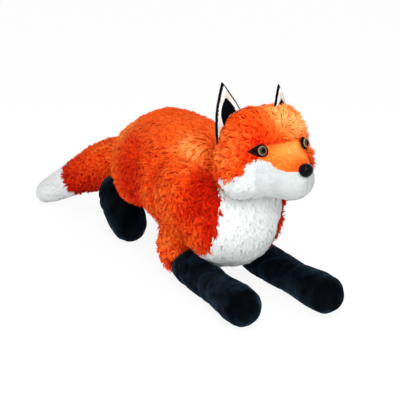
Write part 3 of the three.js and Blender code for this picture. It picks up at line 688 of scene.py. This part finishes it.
def white_pile(tree):
    """Polyester pile plush in white: matt, with painted shade in cool grey at the roots and between the locks.
    """
    c = colours()
    rise, tone = (
        add_node(tree, "ShaderNodeAttribute", out="Fac", attribute_name=label) for label in ("rise", "tone")
    )
    # Painted shade: where the painted tip light or the cheek's painted shade is low, the white takes the grey
    # of its roots
    both = add_node(tree, "ShaderNodeMath", {0: rise, 1: tone}, operation="MULTIPLY")
    stops = [(0.0, c.white_shade), (0.15, scaled(c.white_shade, 1.18)), (0.7, c.white)]
    shade = add_node(tree, "ShaderNodeValToRGB", {0: both}, stops)
    return add_node(tree, "ShaderNodeBsdfPrincipled", {
        "Base Color": shade, "Roughness": 0.9, "Specular IOR Level": 0.05,
    })


def muzzle_pile(tree):
    """Knitted short pile plush: smooth, with painted light making it golden on the crown of the muzzle and
    painted shade making it orange toward its seams.
    """
    c = colours()
    tone = add_node(tree, "ShaderNodeAttribute", out="Fac", attribute_name="tone")
    stops = [(0.0, c.mid), (0.4, c.muzzle_side_shade), (1.0, c.muzzle)]
    shade = add_node(tree, "ShaderNodeValToRGB", {0: tone}, stops)
    return add_node(tree, "ShaderNodeBsdfPrincipled", {
        "Base Color": shade, "Sheen Tint": shade, "Roughness": 0.9, "Sheen Weight": 0.15,
        "Sheen Roughness": 0.5, "Specular IOR Level": 0.05,
    })


def napped(tree, base, sheen, weight, grain, trim=None):
    """Short napped cloth: matt, lighter at its edges, with a fine uneven nap.

    The fine grain is the nap itself, drawn as coarse as it needs to be to show, and the broad one is
    where a hand has brushed it. A trim is a second colour, which the piece's "trim" values let in.
    """
    place = add_node(tree, "ShaderNodeTexCoord", out="Object")
    fine, broad = (
        add_node(tree, "ShaderNodeTexNoise", {"Vector": place, "Scale": 1 / span, "Detail": 3.0}, out="Fac")
        for span in (grain, grain * 24)
    )
    stops = [(0.35, scaled(base, 0.6)), (0.7, scaled(base, 1.7))]
    shade = add_node(tree, "ShaderNodeValToRGB", {0: broad}, stops)
    if trim is not None:
        share = add_node(tree, "ShaderNodeAttribute", out="Fac", attribute_name="trim")
        shade = add_node(tree, "ShaderNodeMix", {0: share, 6: shade, 7: opaque(trim)}, out=2, data_type="RGBA")
    bump = add_node(tree, "ShaderNodeBump", {"Height": fine, "Strength": 0.5, "Distance": grain * 0.6})
    brushed = add_node(tree, "ShaderNodeMapRange", {
        "Value": broad, "From Min": 0.35, "From Max": 0.65, "To Min": weight * 0.3, "To Max": weight * 2,
    })
    return add_node(tree, "ShaderNodeBsdfPrincipled", {
        "Base Color": shade, "Normal": bump, "Roughness": 0.88, "Sheen Weight": brushed,
        "Sheen Roughness": 0.45, "Sheen Tint": opaque(sheen), "Specular IOR Level": 0.02,
    })


def moulded(tree, base, roughness, shine):
    """Injection moulded plastic: even, with a soft gloss."""
    return add_node(tree, "ShaderNodeBsdfPrincipled", {
        "Base Color": opaque(base), "Roughness": roughness, "Specular IOR Level": shine, "IOR": 1.49,
    })


def thread(tree):
    """Rayon embroidery thread: grey, with a soft shine. Its millimetre twist is drawn near 4 mm, to show."""
    place = add_node(tree, "ShaderNodeTexCoord", out="Object")
    wave = {"Vector": place, "Scale": 1 / (6 * MM)}
    twist = add_node(tree, "ShaderNodeTexWave", wave, out="Fac", bands_direction="DIAGONAL")
    stops = [(0.2, linear("#8C847C")), (0.8, linear("#B8B0A8"))]
    shade = add_node(tree, "ShaderNodeValToRGB", {0: twist}, stops)
    return add_node(tree, "ShaderNodeBsdfPrincipled", {"Base Color": shade, "Roughness": 0.55})


def safety_eye(tree):
    """Acrylic safety eye: a black pupil and an amber ring painted under a clear, glossy dome."""
    c = colours()
    ring = add_node(tree, "ShaderNodeAttribute", out="Fac", attribute_name="ring")
    shade = add_node(tree, "ShaderNodeValToRGB", {0: ring}, [
        (0.0, c.plastic), (0.42, c.plastic), (0.5, scaled(c.iris, 0.2)), (0.66, scaled(c.iris, 0.1)),
        (0.76, scaled(c.iris, 0.5)), (0.81, c.iris), (0.87, scaled(c.iris, 0.6)), (0.93, c.plastic),
    ])
    return add_node(tree, "ShaderNodeBsdfPrincipled", {
        "Base Color": shade, "Roughness": 0.06, "Specular IOR Level": 0.05, "IOR": 1.49,
    })


# Where the pile changes in colour and in painted light and shade, in roughness and in its comb


def spot(node, x, y, z):
    """A place given as shares of a solid's box."""
    low, high = (np.array(corner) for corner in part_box(node))
    return low + (high - low) * (x, y, z)


def node_centre(node):
    return spot(node, 0.5, 0.5, 0.5)


def blobs(points, places, mirror=None):
    """The sum of soft round patches, each a middle, a reach in metres and a strength.

    With a mirror plane's Y, each patch also stands on the other side.
    """
    total = np.zeros(len(points))
    for middle, reach, strength in places:
        far = ((points - middle) ** 2).sum(1)
        if mirror is not None:
            far = np.minimum(far, ((points - (middle[0], 2 * mirror - middle[1], middle[2])) ** 2).sum(1))
        total += strength * np.exp(-far / reach**2)
    return total


def spots(node, rows):
    """Patches from rows that each give a place in a solid's box as three shares, a reach and a strength."""
    return [(spot(node, *row[:3]), *row[3:]) for row in rows]


def brushed_flat(points, places):
    """How rough pile is: 1, and down to 0.4 in the patches where a hand has smoothed it."""
    return 1 - np.clip(blobs(points, places), 0, 0.6)


def body_tone_and_painted_light(points):
    """Deep red down the arm's front and in the haunch's folds, partly the plush's tone and partly painted
    shade, and gold on the shoulder and the rump, partly painted light.
    """
    places = spots("back_cover", [
        (0.77, 0.27, 0.81, 0.03, 0.42), (0.85, 0.15, 0.75, 0.024, 0.2), (0.72, 0.3, 0.86, 0.026, 0.2),
        (0.16, 0.32, 0.76, 0.05, 0.3), (0.3, 0.15, 0.85, 0.03, 0.22), (0.32, 0.02, 0.6, 0.03, 0.12),
        (0.76, 0.0, 0.5, 0.022, 0.16), (0.95, 0.02, 0.25, 0.03, 0.12), (0.79, 0.05, 0.26, 0.03, 0.2),
        (0.98, 0.21, 0.56, 0.05, -0.5), (0.94, 0.25, 0.7, 0.028, -0.2), (0.9, 0.04, 0.45, 0.05, 0.06),
        (0.52, 0.07, 0.72, 0.034, -0.06), (0.45, -0.02, 0.5, 0.035, -0.3), (0.6, 0.0, 0.55, 0.03, -0.1),
    ])
    return 0.5 + blobs(points, places, node_centre("chest_cover")[1]) + waves(points, 0.09, 40) * 0.05


def body_rough(points):
    """Brushed flat along the top of the back, and left in locks on the arms and haunches."""
    along = (0.2, 0.35, 0.5, 0.62, 0.75)
    return brushed_flat(points, spots("back_cover", [(x, 0.4, 0.95, 0.055, 0.5) for x in along]))


def body_flow(points):
    """Back along the spine and down the sides, and straight down over the arms."""
    ahead = np.clip((points[:, :1] - spot("back_cover", 0.68, 0, 0)[0]) / 0.05, 0, 1)
    way = np.array((-0.8, 0.0, -0.75)) * (1 - ahead) + np.array((-0.3, 0.0, -1.0)) * ahead
    return way + drift(points, 0.07, 60) * 0.35


def head_tone_and_painted_light(points):
    """Painted light in gold on the lit side of the forehead, painted shade in red-orange between the brow and
    the ears.
    """
    places = spots("head_cover", [
        (0.85, 0.7, 0.8, 0.032, 0.42), (0.9, 0.85, 0.55, 0.03, 0.3), (0.7, 0.55, 0.95, 0.02, 0.2),
        (0.89, 0.28, 0.81, 0.02, -0.2), (0.98, 0.3, 0.62, 0.018, -0.22), (0.7, 0.2, 0.9, 0.025, -0.1),
        (0.85, 0.08, 0.5, 0.04, 0.12),
    ])
    return 0.55 + blobs(points, places) + waves(points, 0.07, 44) * 0.06


def head_rough(points):
    """Brushed flat over the forehead and the left temple."""
    return brushed_flat(points, spots("head_cover", [
        (0.85, 0.6, 0.85, 0.05, 0.65), (0.6, 0.4, 1.0, 0.04, 0.5), (0.86, 0.97, 0.5, 0.045, 0.5),
    ]))


def head_flow(points):
    """Away from the nose, with the cheeks combed a little down."""
    return unit(points - node_centre("nose")) + (0, 0, -0.35) + drift(points, 0.06, 70) * 0.35


def jaw_flow(points):
    """Away from the nose, and hanging where the jaw ends over the chest."""
    low = np.clip((0.2 - points[:, 2:]) / 0.02, 0, 1)
    return head_flow(points) + np.array((0, 0, -1.2)) * low


def cheek_painted_shade(points):
    """White on the cheeks, with painted shade greying the flat sides of the muzzle and a crease beside it."""
    far = how_long(points - node_centre("nose"))
    painted_crease_shade = spots("cheek_jaw_cover", [(0.7, 0.27, z, 0.009, -0.5) for z in (0.4, 0.55, 0.7, 0.82)])
    return np.clip((far - 0.05) / 0.035 + blobs(points, painted_crease_shade, node_centre("nose")[1]), 0.0, 0.45)


def muzzle_tone_and_painted_light(points):
    """Painted light in gold along the crown between the eyes, painted shade in orange down the sides and
    toward the nose.
    """
    places = spots("muzzle_top_cover", [(0.3, 0.55, 0.75, 0.024, 0.5), (0.1, 0.2, 0.9, 0.018, -0.2)])
    places.append((node_centre("nose"), 0.026, -0.35))
    return 0.45 + blobs(points, places) + waves(points, 0.04, 46) * 0.03


def tail_tone_and_painted_light(points):
    """Painted light along the top of the tail and painted shade in deep red underneath."""
    high = (points[:, 2] - node_centre("tail_cover")[2]) / 0.05
    return 0.27 + 0.32 * np.clip(high, -1, 1) + waves(points, 0.06, 48) * 0.06


def tail_flow(points):
    """Toward the tip of the tail."""
    way = unit(node_centre("tail_tip_cover") - node_centre("tail_cover"))
    return way + drift(points, 0.05, 80) * 0.3


def chest_flow(points):
    """Down the chest."""
    return np.array((0.1, 0.0, -1.0)) + drift(points, 0.05, 90) * 0.3


def constant(value):
    return lambda points: np.full(len(points), value)


def any_blade(root, tip):
    return np.ones(len(root), bool)


def long_look(tone, flow, **changes):
    """How the long orange pile is combed."""
    s = sizes()
    return {
        "density": s.density, "width": s.blade, "lock": s.lock, "lean": 1.15, "swirl": 1.5, "stray": 0.05,
        "gather": 0.38, "crimp": 0.6, "relief": 0.7, "painted_gap_shade": 0.32, "mottle": 0.36, "seam_shade": 0.22,
        "length": constant(s.long_pile), "rough": constant(1.0), "flow": flow, "tone": tone,
        "keep": any_blade, **changes,
    }


def white_look(flow, **changes):
    """How the white pile is combed: thicker, flatter and hardly curled."""
    s = sizes()
    return {
        "density": s.density * 1.4, "width": s.blade * 1.3, "lock": s.lock, "lean": 1.25, "swirl": 0.5,
        "stray": 0.04, "gather": 0.08, "crimp": 0.15, "relief": 0.15, "painted_gap_shade": 0.06, "mottle": 0.0,
        "seam_shade": 0.0, "length": constant(s.chest_pile), "rough": constant(0.6), "flow": flow,
        "tone": constant(1.0), "keep": any_blade, **changes,
    }


def short_look(look):
    """How the short smooth pile of the muzzle is combed."""
    return {
        **look, "lock": 3 * MM, "lean": 1.1, "gather": 0.1, "relief": 0.12, "painted_gap_shade": 0.08, "width": 1.0 * MM,
        "density": sizes().density * 1.25, "mottle": 0.05, "swirl": 0.3,
    }


# The fox's pieces


SKINS = {}


def add_piece(made, body, slot, *nodes, fill=None):
    """Finishes a piece: its material, its body, its slot and the solids it replaces. Its fill, how full it is,
    is not used.
    """
    made.data.materials.append(bpy.data.materials[FINISHES[slot]])
    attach(made, body)
    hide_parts(*nodes)


def clothe(form, salt, rows, lengths=None):
    """Parts a form's skin and makes its furred pieces.

    Each row gives a piece's name, its look, its slot and its solids, and the first of these names its
    panel. A panel is as deep as its look's pile, unless lengths say otherwise. The salt, ten on for each
    piece, keeps their draws apart.
    """
    panels = parted(SKINS[form], lengths or {row[3]: row[1]["length"] for row in rows})
    for index, (name, look, slot, *nodes) in enumerate(rows):
        panel = panels[nodes[0]]
        points, normals, faces, _ = panel
        pile = pile_of(panel, look, salt + 10 * index)
        piece = dressed(name, points, normals, faces, pile, look["tone"](points))
        add_piece(piece, form, slot, *nodes, fill=0.8)


def layered(name, node, spacing, rounds):
    """A thin layer of cloth: the grid over its solid, smoothed a few rounds."""
    piece = gridded(name, [node], spacing)
    even_out(piece, rounds)
    piece.data.shade_smooth()
    return piece


def rounded(piece, levels):
    """Subdivides a piece smoothly."""
    divide = piece.modifiers.new("round", "SUBSURF")
    divide.levels = divide.render_levels = levels
    piece.data.shade_smooth()


FORMS = {
    "torso": [
        "back_cover", "chest_cover", "belly_cover", "body_stuffing",
        *(f"{form}_{side}" for form in ("upper_arm", "upper_arm_stuffing", "haunch", "haunch_stuffing")
          for side in SIDES),
    ],
    "head": ["head_cover", "muzzle_top_cover", "cheek_jaw_cover", "head_stuffing"],
    "tail": ["tail_cover", "tail_tip_cover", "tail_stuffing"],
    **{f"{form}_{side}": [f"{form}_{side}", f"{form}_stuffing_{side}"]
       for form in ("foreleg", "hind_foot") for side in SIDES},
}


class FOX_OT_skins(bpy.types.Operator):
    """Works out the skin of every stuffed form from the frame's solids, and fills it as cloth"""

    bl_idname = "fox.skins"
    bl_label = "Stuffed skins"

    def execute(self, context):
        s = sizes()
        solids = {}
        for name, nodes in FORMS.items():
            furry = name in ("torso", "tail")
            solids[name] = gridded(f"{name}_solid", nodes, s.weave if furry else s.fine_weave)
            skin = object_from(f"{name}_skin", solids[name].data.copy())
            even_out(skin, FURRY_ROUNDS if furry else SMOOTH_ROUNDS)
            SKINS[name] = skin
        puffed(list(SKINS.values()), s.puff)
        for name, skin in SKINS.items():
            settle(skin, solids[name], LEG_INSET if "foot" in name or "leg" in name else s.inset)
            drop(solids[name])
        return {"FINISHED"}


class FOX_OT_torso(bpy.types.Operator):
    """Makes the orange back, the white chest and belly, the upper arms and the haunches"""

    bl_idname = "fox.torso"
    bl_label = "Torso"

    def execute(self, context):
        orange = long_look(body_tone_and_painted_light, body_flow, rough=body_rough)
        white = white_look(chest_flow, length=self.chest_length)
        rows = [
            ("back_cover_pile", orange, "orange_plush", "back_cover", "body_stuffing"),
            ("chest_cover_pile", white, "white_plush", "chest_cover"),
            ("belly_cover_pile", white, "white_plush", "belly_cover"),
        ]
        for form in ("upper_arm", "haunch"):
            for side in SIDES:
                nodes = (f"{form}_{side}", f"{form}_stuffing_{side}")
                rows.append((f"{form}_{side}_pile", orange, "orange_plush", *nodes))
        clothe("torso", 100, rows)
        return {"FINISHED"}

    @staticmethod
    def chest_length(points):
        """Pressed short near the floor."""
        return sizes().chest_pile * np.clip(0.4 + points[:, 2] / 0.14, 0.4, 1)


class FOX_OT_tail(bpy.types.Operator):
    """Makes the orange sleeve and the white tip of the tail"""

    bl_idname = "fox.tail"
    bl_label = "Tail"

    def execute(self, context):
        s = sizes()
        orange = long_look(tail_tone_and_painted_light, tail_flow)
        white = white_look(tail_flow, length=constant(s.chest_pile * 0.8), width=s.blade)
        clothe("tail", 200, [
            ("tail_cover_pile", orange, "orange_plush", "tail_cover", "tail_stuffing"),
            ("tail_tip_pile", white, "white_plush", "tail_tip_cover"),
        ])
        return {"FINISHED"}


class FOX_OT_head(bpy.types.Operator):
    """Makes the orange head, the short-pile muzzle top and the white cheeks and jaw"""

    bl_idname = "fox.head"
    bl_label = "Head"

    def execute(self, context):
        s = sizes()
        eyes = [node_centre(f"eye_{side}") for side in SIDES]
        nose = node_centre("nose")

        def keep(root, tip):
            free = how_long(tip - nose) > NOSE_GAP
            for side, eye in zip(SIDES, eyes):
                free &= distance_to(root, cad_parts[f"eye_patch_{side}"]) > FELT_GAP
                free &= how_long(tip - eye) > s.eye * EYE_GAP
            return free

        far_side = spots("head_cover", [(0.86, 0.97, 0.5, 0.04, 0.55), (0.75, 0.97, 0.75, 0.04, 0.55)])

        def orange_length(points):
            far = np.min([how_long(points - eye) for eye in eyes], axis=0)
            return s.long_pile * np.clip(0.5 + far / 0.07, 0.6, 0.95)

        def brow_length(points):
            return orange_length(points) * (1 + blobs(points, far_side))

        def white_length(points):
            back = np.clip((how_long(points - nose) - 0.06) / 0.04, 0, 1)
            low = np.clip((0.19 - points[:, 2]) / 0.015, 0, 0.6)
            return s.short_pile + (s.chest_pile - s.short_pile) * back * (1 + low)

        orange = long_look(head_tone_and_painted_light, head_flow, keep=keep, length=brow_length, rough=head_rough)
        white = white_look(jaw_flow, keep=keep, length=white_length, tone=cheek_painted_shade)
        short = short_look(long_look(muzzle_tone_and_painted_light, head_flow, keep=keep, length=constant(s.short_pile)))
        rows = [
            ("head_cover_pile", orange, "orange_plush", "head_cover", "head_stuffing"),
            ("cheek_jaw_pile", white, "white_plush", "cheek_jaw_cover"),
            ("muzzle_top_pile", short, "short_pile_plush", "muzzle_top_cover"),
        ]
        clothe("head", 300, rows, {
            "head_cover": orange_length, "muzzle_top_cover": short["length"], "cheek_jaw_cover": white_length,
        })
        return {"FINISHED"}


def creased(skin, along, from_point, depth):
    """Creases across a leg.

    The depth of the cloth is a sharp-ridged sine of the distance along the leg, with a phase that
    drifts round it, and fades out toward the paw.
    """
    points = vertices_of(skin.data)
    run = (points - from_point) @ along
    span = run.max() - run.min()
    phase = run / CREASE_SPACING * 2 * math.pi + waves(points, 0.08, 30) * 3.2
    fade = np.clip(1.25 - (run - run.min()) / span * 1.3, 0, 1) * np.clip(0.55 + waves(points, 0.06, 32), 0, 1)
    sag = (1 - np.abs(np.sin(phase / 2))) ** 2 * fade * depth
    set_points(skin.data, points - normals_of(skin.data) * sag[:, None])


class FOX_OT_legs(bpy.types.Operator):
    """Makes the black velour forelegs and hind feet"""

    bl_idname = "fox.legs"
    bl_label = "Legs"

    def execute(self, context):
        for side in SIDES:
            for form in ("foreleg", "hind_foot"):
                name = f"{form}_{side}"
                skin = SKINS[name]
                points = vertices_of(skin.data)
                middle = points.mean(0)
                along = np.linalg.svd(points - middle, full_matrices=False)[2][0]
                along = along * np.sign(along[0] if form == "foreleg" else -along[2])
                creased(skin, along, middle, sizes().wrinkle)
                piece = object_from(f"{name}_velour", skin.data.copy())
                rounded(piece, 1)
                add_piece(piece, name, "black_velour", name, f"{form}_stuffing_{side}", fill=0.85)
        return {"FINISHED"}


class FOX_OT_ears(bpy.types.Operator):
    """Makes the ears: a black back, a cream lining with a black rim, and a black patch in each"""

    bl_idname = "fox.ears"
    bl_label = "Ears"

    def execute(self, context):
        s = sizes()
        layers = (
            ("ear_back", 1, "black_velour"),
            ("ear_lining", 1, "cream_plush"),
            ("ear_patch", 0.6, "black_velour"),
        )
        for side in SIDES:
            other = node_centre(f"ear_back_{SIDES[side == 'right']}")
            for layer, share, slot in layers:
                node = f"{layer}_{side}"
                piece = layered(f"{node}_cloth", node, s.ear_weave * share, EAR_ROUNDS)
                points = vertices_of(piece.data)
                if layer == "ear_back":
                    middle = points.mean(0)
                    back = points - middle
                    tall, wide, _ = np.linalg.svd(back, full_matrices=False)[2]
                    wide = wide * np.sign(wide @ (other - middle))
                if layer == "ear_lining":
                    give_values(piece.data, "trim", self.trim(points - middle, back, tall, wide))
                add_piece(piece, "head", slot, node, fill=0.3)
        return {"FINISHED"}

    @staticmethod
    def trim(points, back, tall, wide):
        """Which points of the lining the black of the back comes over.

        The back's edges at each height are the least and the greatest distance across it of its own
        points there. The black covers a few millimetres at the outer edge and less at the inner one.
        """
        levels, row = np.unique((back @ tall / EDGE_ROW).round(), return_inverse=True)
        outer, inner = np.full(len(levels), np.inf), np.full(len(levels), -np.inf)
        np.minimum.at(outer, row, back @ wide)
        np.maximum.at(inner, row, back @ wide)
        height, across = points @ tall, points @ wide
        from_outer = across - np.interp(height, levels * EDGE_ROW, outer)
        from_inner = np.interp(height, levels * EDGE_ROW, inner) - across
        return ((from_outer < OUTER_TRIM) | (from_inner < INNER_TRIM)).astype(float)


def seat_axes(fitting, washer):
    """Where a fitting stands: its washer's middle, the washer's axis outward, and the two ways across."""
    middle = node_centre(washer)
    disc = vertices_of(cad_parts[washer].data)
    out = np.linalg.svd(disc - disc.mean(0), full_matrices=False)[2][2]
    out = out * np.sign(out @ (node_centre(fitting) - middle))
    over = unit(np.array((0, 0, 1.0)) - out * out[2])
    return middle, out, np.cross(over, out), over


def revolved(name, profile, centre, out, across, over, steps=48):
    """A surface of revolution: each profile point (radius, height) carried once round the axis."""
    profile = np.array(profile)
    turn = np.linspace(0, 2 * math.pi, steps, endpoint=False)
    ring = np.cos(turn)[:, None] * across + np.sin(turn)[:, None] * over
    points = centre + profile[:, :1, None] * ring[None] + profile[:, 1:, None] * out
    rows = len(profile)
    row, column = np.meshgrid(np.arange(rows - 1), np.arange(steps), indexing="ij")
    after = (column + 1) % steps
    faces = np.stack(
        [row * steps + column, row * steps + after, (row + 1) * steps + after, (row + 1) * steps + column], -1
    ).reshape(-1, 4)
    turned = mesh_from(f"{name}_open", points.reshape(-1, 3), faces)
    made = merged_copy(name, turned, outward=True)
    bpy.data.meshes.remove(turned)
    made.data.shade_smooth()
    return made


class FOX_OT_face(bpy.types.Operator):
    """Makes the eyes with their felt, the nose, the mouth stitch and the washers behind them"""

    bl_idname = "fox.face"
    bl_label = "Face"

    def execute(self, context):
        s = sizes()
        radius = s.eye / 2
        for side in SIDES:
            centre, out, across, over = seat_axes(f"eye_{side}", f"eye_washer_{side}")
            base = ((vertices_of(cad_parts[f"eye_{side}"].data) - centre) @ out).max() - s.eye_height
            turn = np.linspace(0, math.pi / 2, 14)
            profile = [(0.0, base - EYE_RIM), (radius * 0.9, base - EYE_RIM), (radius, base)]
            profile += [(radius * math.cos(a), base + s.eye_height * math.sin(a)) for a in turn]
            eye = revolved(f"eye_{side}_dome", profile, centre, out, across, over)
            offset = along_surface(vertices_of(eye.data) - centre, out)
            give_values(eye.data, "ring", how_long(offset) / radius)
            add_piece(eye, "head", "amber_plastic", f"eye_{side}")
            felt = layered(f"eye_patch_{side}_felt", f"eye_patch_{side}", s.ear_weave * 0.5, FELT_ROUNDS)
            add_piece(felt, "head", "felt", f"eye_patch_{side}")
        nose = merged_copy("nose_knob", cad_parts["nose"].data)
        rounded(nose, 2)
        add_piece(nose, "head", "black_plastic", "nose")
        for node in ("eye_washer_right", "eye_washer_left", "nose_washer"):
            carried(node, "washer_plastic")
        carried("mouth_stitch", "thread")
        return {"FINISHED"}


def carried(node, slot):
    """A frame solid whose shape is right gets its finish."""
    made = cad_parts[node]
    made.data.materials.clear()
    made.data.materials.append(bpy.data.materials[FINISHES[slot]])


class FOX_OT_materials(bpy.types.Operator):
    """Makes the fabrics, felt, thread and plastics"""

    bl_idname = "fox.materials"
    bl_label = "Materials"

    def execute(self, context):
        c = colours()
        cream, cream_sheen, felt_sheen = scaled(c.cream, 0.8), linear("#FFFFFF"), linear("#6A4A3A")
        surfaces = {
            "orange_plush": long_pile,
            "white_plush": white_pile,
            "short_pile_plush": muzzle_pile,
            "black_velour": lambda tree: napped(tree, c.velour, c.velour_sheen, 0.16, 0.9 * MM),
            "cream_plush": lambda tree: napped(tree, cream, cream_sheen, 0.1, 0.8 * MM, c.velour),
            "felt": lambda tree: napped(tree, c.felt, felt_sheen, 0.1, 0.6 * MM),
            "black_plastic": lambda tree: moulded(tree, c.plastic, 0.24, 0.09),
            "washer_plastic": lambda tree: moulded(tree, linear("#E6E6E0"), 0.5, 0.5),
            "thread": thread,
            "amber_plastic": safety_eye,
        }
        for slot, surface in surfaces.items():
            new_material(FINISHES[slot], surface)
        return {"FINISHED"}


def looked_at(tree):
    """1 where the camera, a glossy or a clear surface looks at something, and 0 where it only lights."""
    seen = 0.0
    for ray in ("Is Camera Ray", "Is Glossy Ray", "Is Transmission Ray"):
        path = add_node(tree, "ShaderNodeLightPath", out=ray)
        seen = add_node(tree, "ShaderNodeMath", {0: seen, 1: path}, operation="MAXIMUM")
    return seen


class FOX_OT_stage(bpy.types.Operator):
    """Sets the pale floor, the soft lamps and the camera"""

    bl_idname = "fox.stage"
    bl_label = "Stage"

    def execute(self, context):
        scene = context.scene
        corners = np.array([(-1, -1, 0), (1, -1, 0), (1, 1, 0), (-1, 1, 0)]) * FLOOR_REACH - (0, 0, FLOOR_DROP)
        floor = object_from("floor", mesh_from("floor", corners, np.array([(0, 1, 2, 3)])))
        floor.data.materials.append(new_material("pale_floor", self.floor_paint))
        world = bpy.data.worlds.new("soft_room")
        scene.world = world
        world.use_nodes = True
        tree = world.node_tree
        tree.nodes.clear()
        room = add_node(tree, "ShaderNodeBackground", {"Color": (1, 1, 1, 1), "Strength": ROOM_LIGHT})
        white = add_node(tree, "ShaderNodeBackground", {"Color": (1, 1, 1, 1), "Strength": 1.0})
        both = add_node(tree, "ShaderNodeMixShader", {0: looked_at(tree), 1: room, 2: white})
        add_node(tree, "ShaderNodeOutputWorld", {"Surface": both})
        for name, place, size, power in LAMPS:
            data = bpy.data.lights.new(name, "AREA")
            data.shape = "DISK"
            data.size = size
            data.energy = power
            self.aimed(name, data, Vector(place), Vector(LAMP_TARGET))
        data = bpy.data.cameras.new("camera")
        data.lens = CAMERA_LENS
        data.sensor_width = CAMERA_SENSOR
        data.shift_x, data.shift_y = (shift / PHOTO_SIDE for shift in PHOTO_SHIFT)
        azimuth, elevation = math.radians(CAMERA_AZIMUTH), math.radians(CAMERA_ELEVATION)
        back = Vector((math.sin(azimuth) * math.cos(elevation), -math.cos(azimuth) * math.cos(elevation),
                       math.sin(elevation)))
        target = Vector(CAMERA_TARGET)
        scene.camera = self.aimed("camera", data, target + back * CAMERA_DISTANCE, target)
        scene.view_settings.view_transform = "Standard"
        return {"FINISHED"}

    @staticmethod
    def floor_paint(tree):
        """Matt pale paint that keeps the shadow, and glows white where it is looked at."""
        plain = add_node(tree, "ShaderNodeBsdfDiffuse", {"Color": opaque(linear("#F4F4F4"))})
        glow = add_node(tree, "ShaderNodeEmission", {"Color": (1, 1, 1, 1), "Strength": 1.0})
        share = add_node(tree, "ShaderNodeMath", {0: looked_at(tree), 1: FLOOR_GLOW}, operation="MULTIPLY")
        return add_node(tree, "ShaderNodeMixShader", {0: share, 1: plain, 2: glow})

    @staticmethod
    def aimed(name, data, place, target):
        """A lamp or camera at a place, turned to its target."""
        made = object_from(name, data)
        made.location = place
        made.rotation_euler = (target - place).to_track_quat("-Z", "Y").to_euler()
        return made


class FOX_PT_panel(bpy.types.Panel):
    """Lists the fox's parts in the sidebar"""

    bl_idname = "FOX_PT_panel"
    bl_label = "Plush fox"
    bl_space_type = "VIEW_3D"
    bl_region_type = "UI"
    bl_category = "Plush fox"

    def draw(self, context):
        for operator in OPERATORS:
            self.layout.operator(operator.bl_idname)


OPERATORS = (
    FOX_OT_materials, FOX_OT_skins, FOX_OT_torso, FOX_OT_tail, FOX_OT_head, FOX_OT_legs,
    FOX_OT_ears, FOX_OT_face, FOX_OT_stage,
)
CLASSES = (FoxSizes, FoxColours, *OPERATORS, FOX_PT_panel)


def register():
    for each in CLASSES:
        bpy.utils.register_class(each)
    bpy.types.Scene.fox_sizes = PointerProperty(type=FoxSizes)
    bpy.types.Scene.fox_colours = PointerProperty(type=FoxColours)


def unregister():
    del bpy.types.Scene.fox_colours
    del bpy.types.Scene.fox_sizes
    for each in reversed(CLASSES):
        bpy.utils.unregister_class(each)


def main():
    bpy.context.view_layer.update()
    register()
    bpy.ops.fox.materials()
    bpy.ops.fox.skins()
    bpy.ops.fox.torso()
    bpy.ops.fox.tail()
    bpy.ops.fox.head()
    bpy.ops.fox.legs()
    bpy.ops.fox.ears()
    bpy.ops.fox.face()
    for skin in SKINS.values():
        drop(skin)
    bpy.ops.fox.stage()


if __name__ == "__main__":
    main()
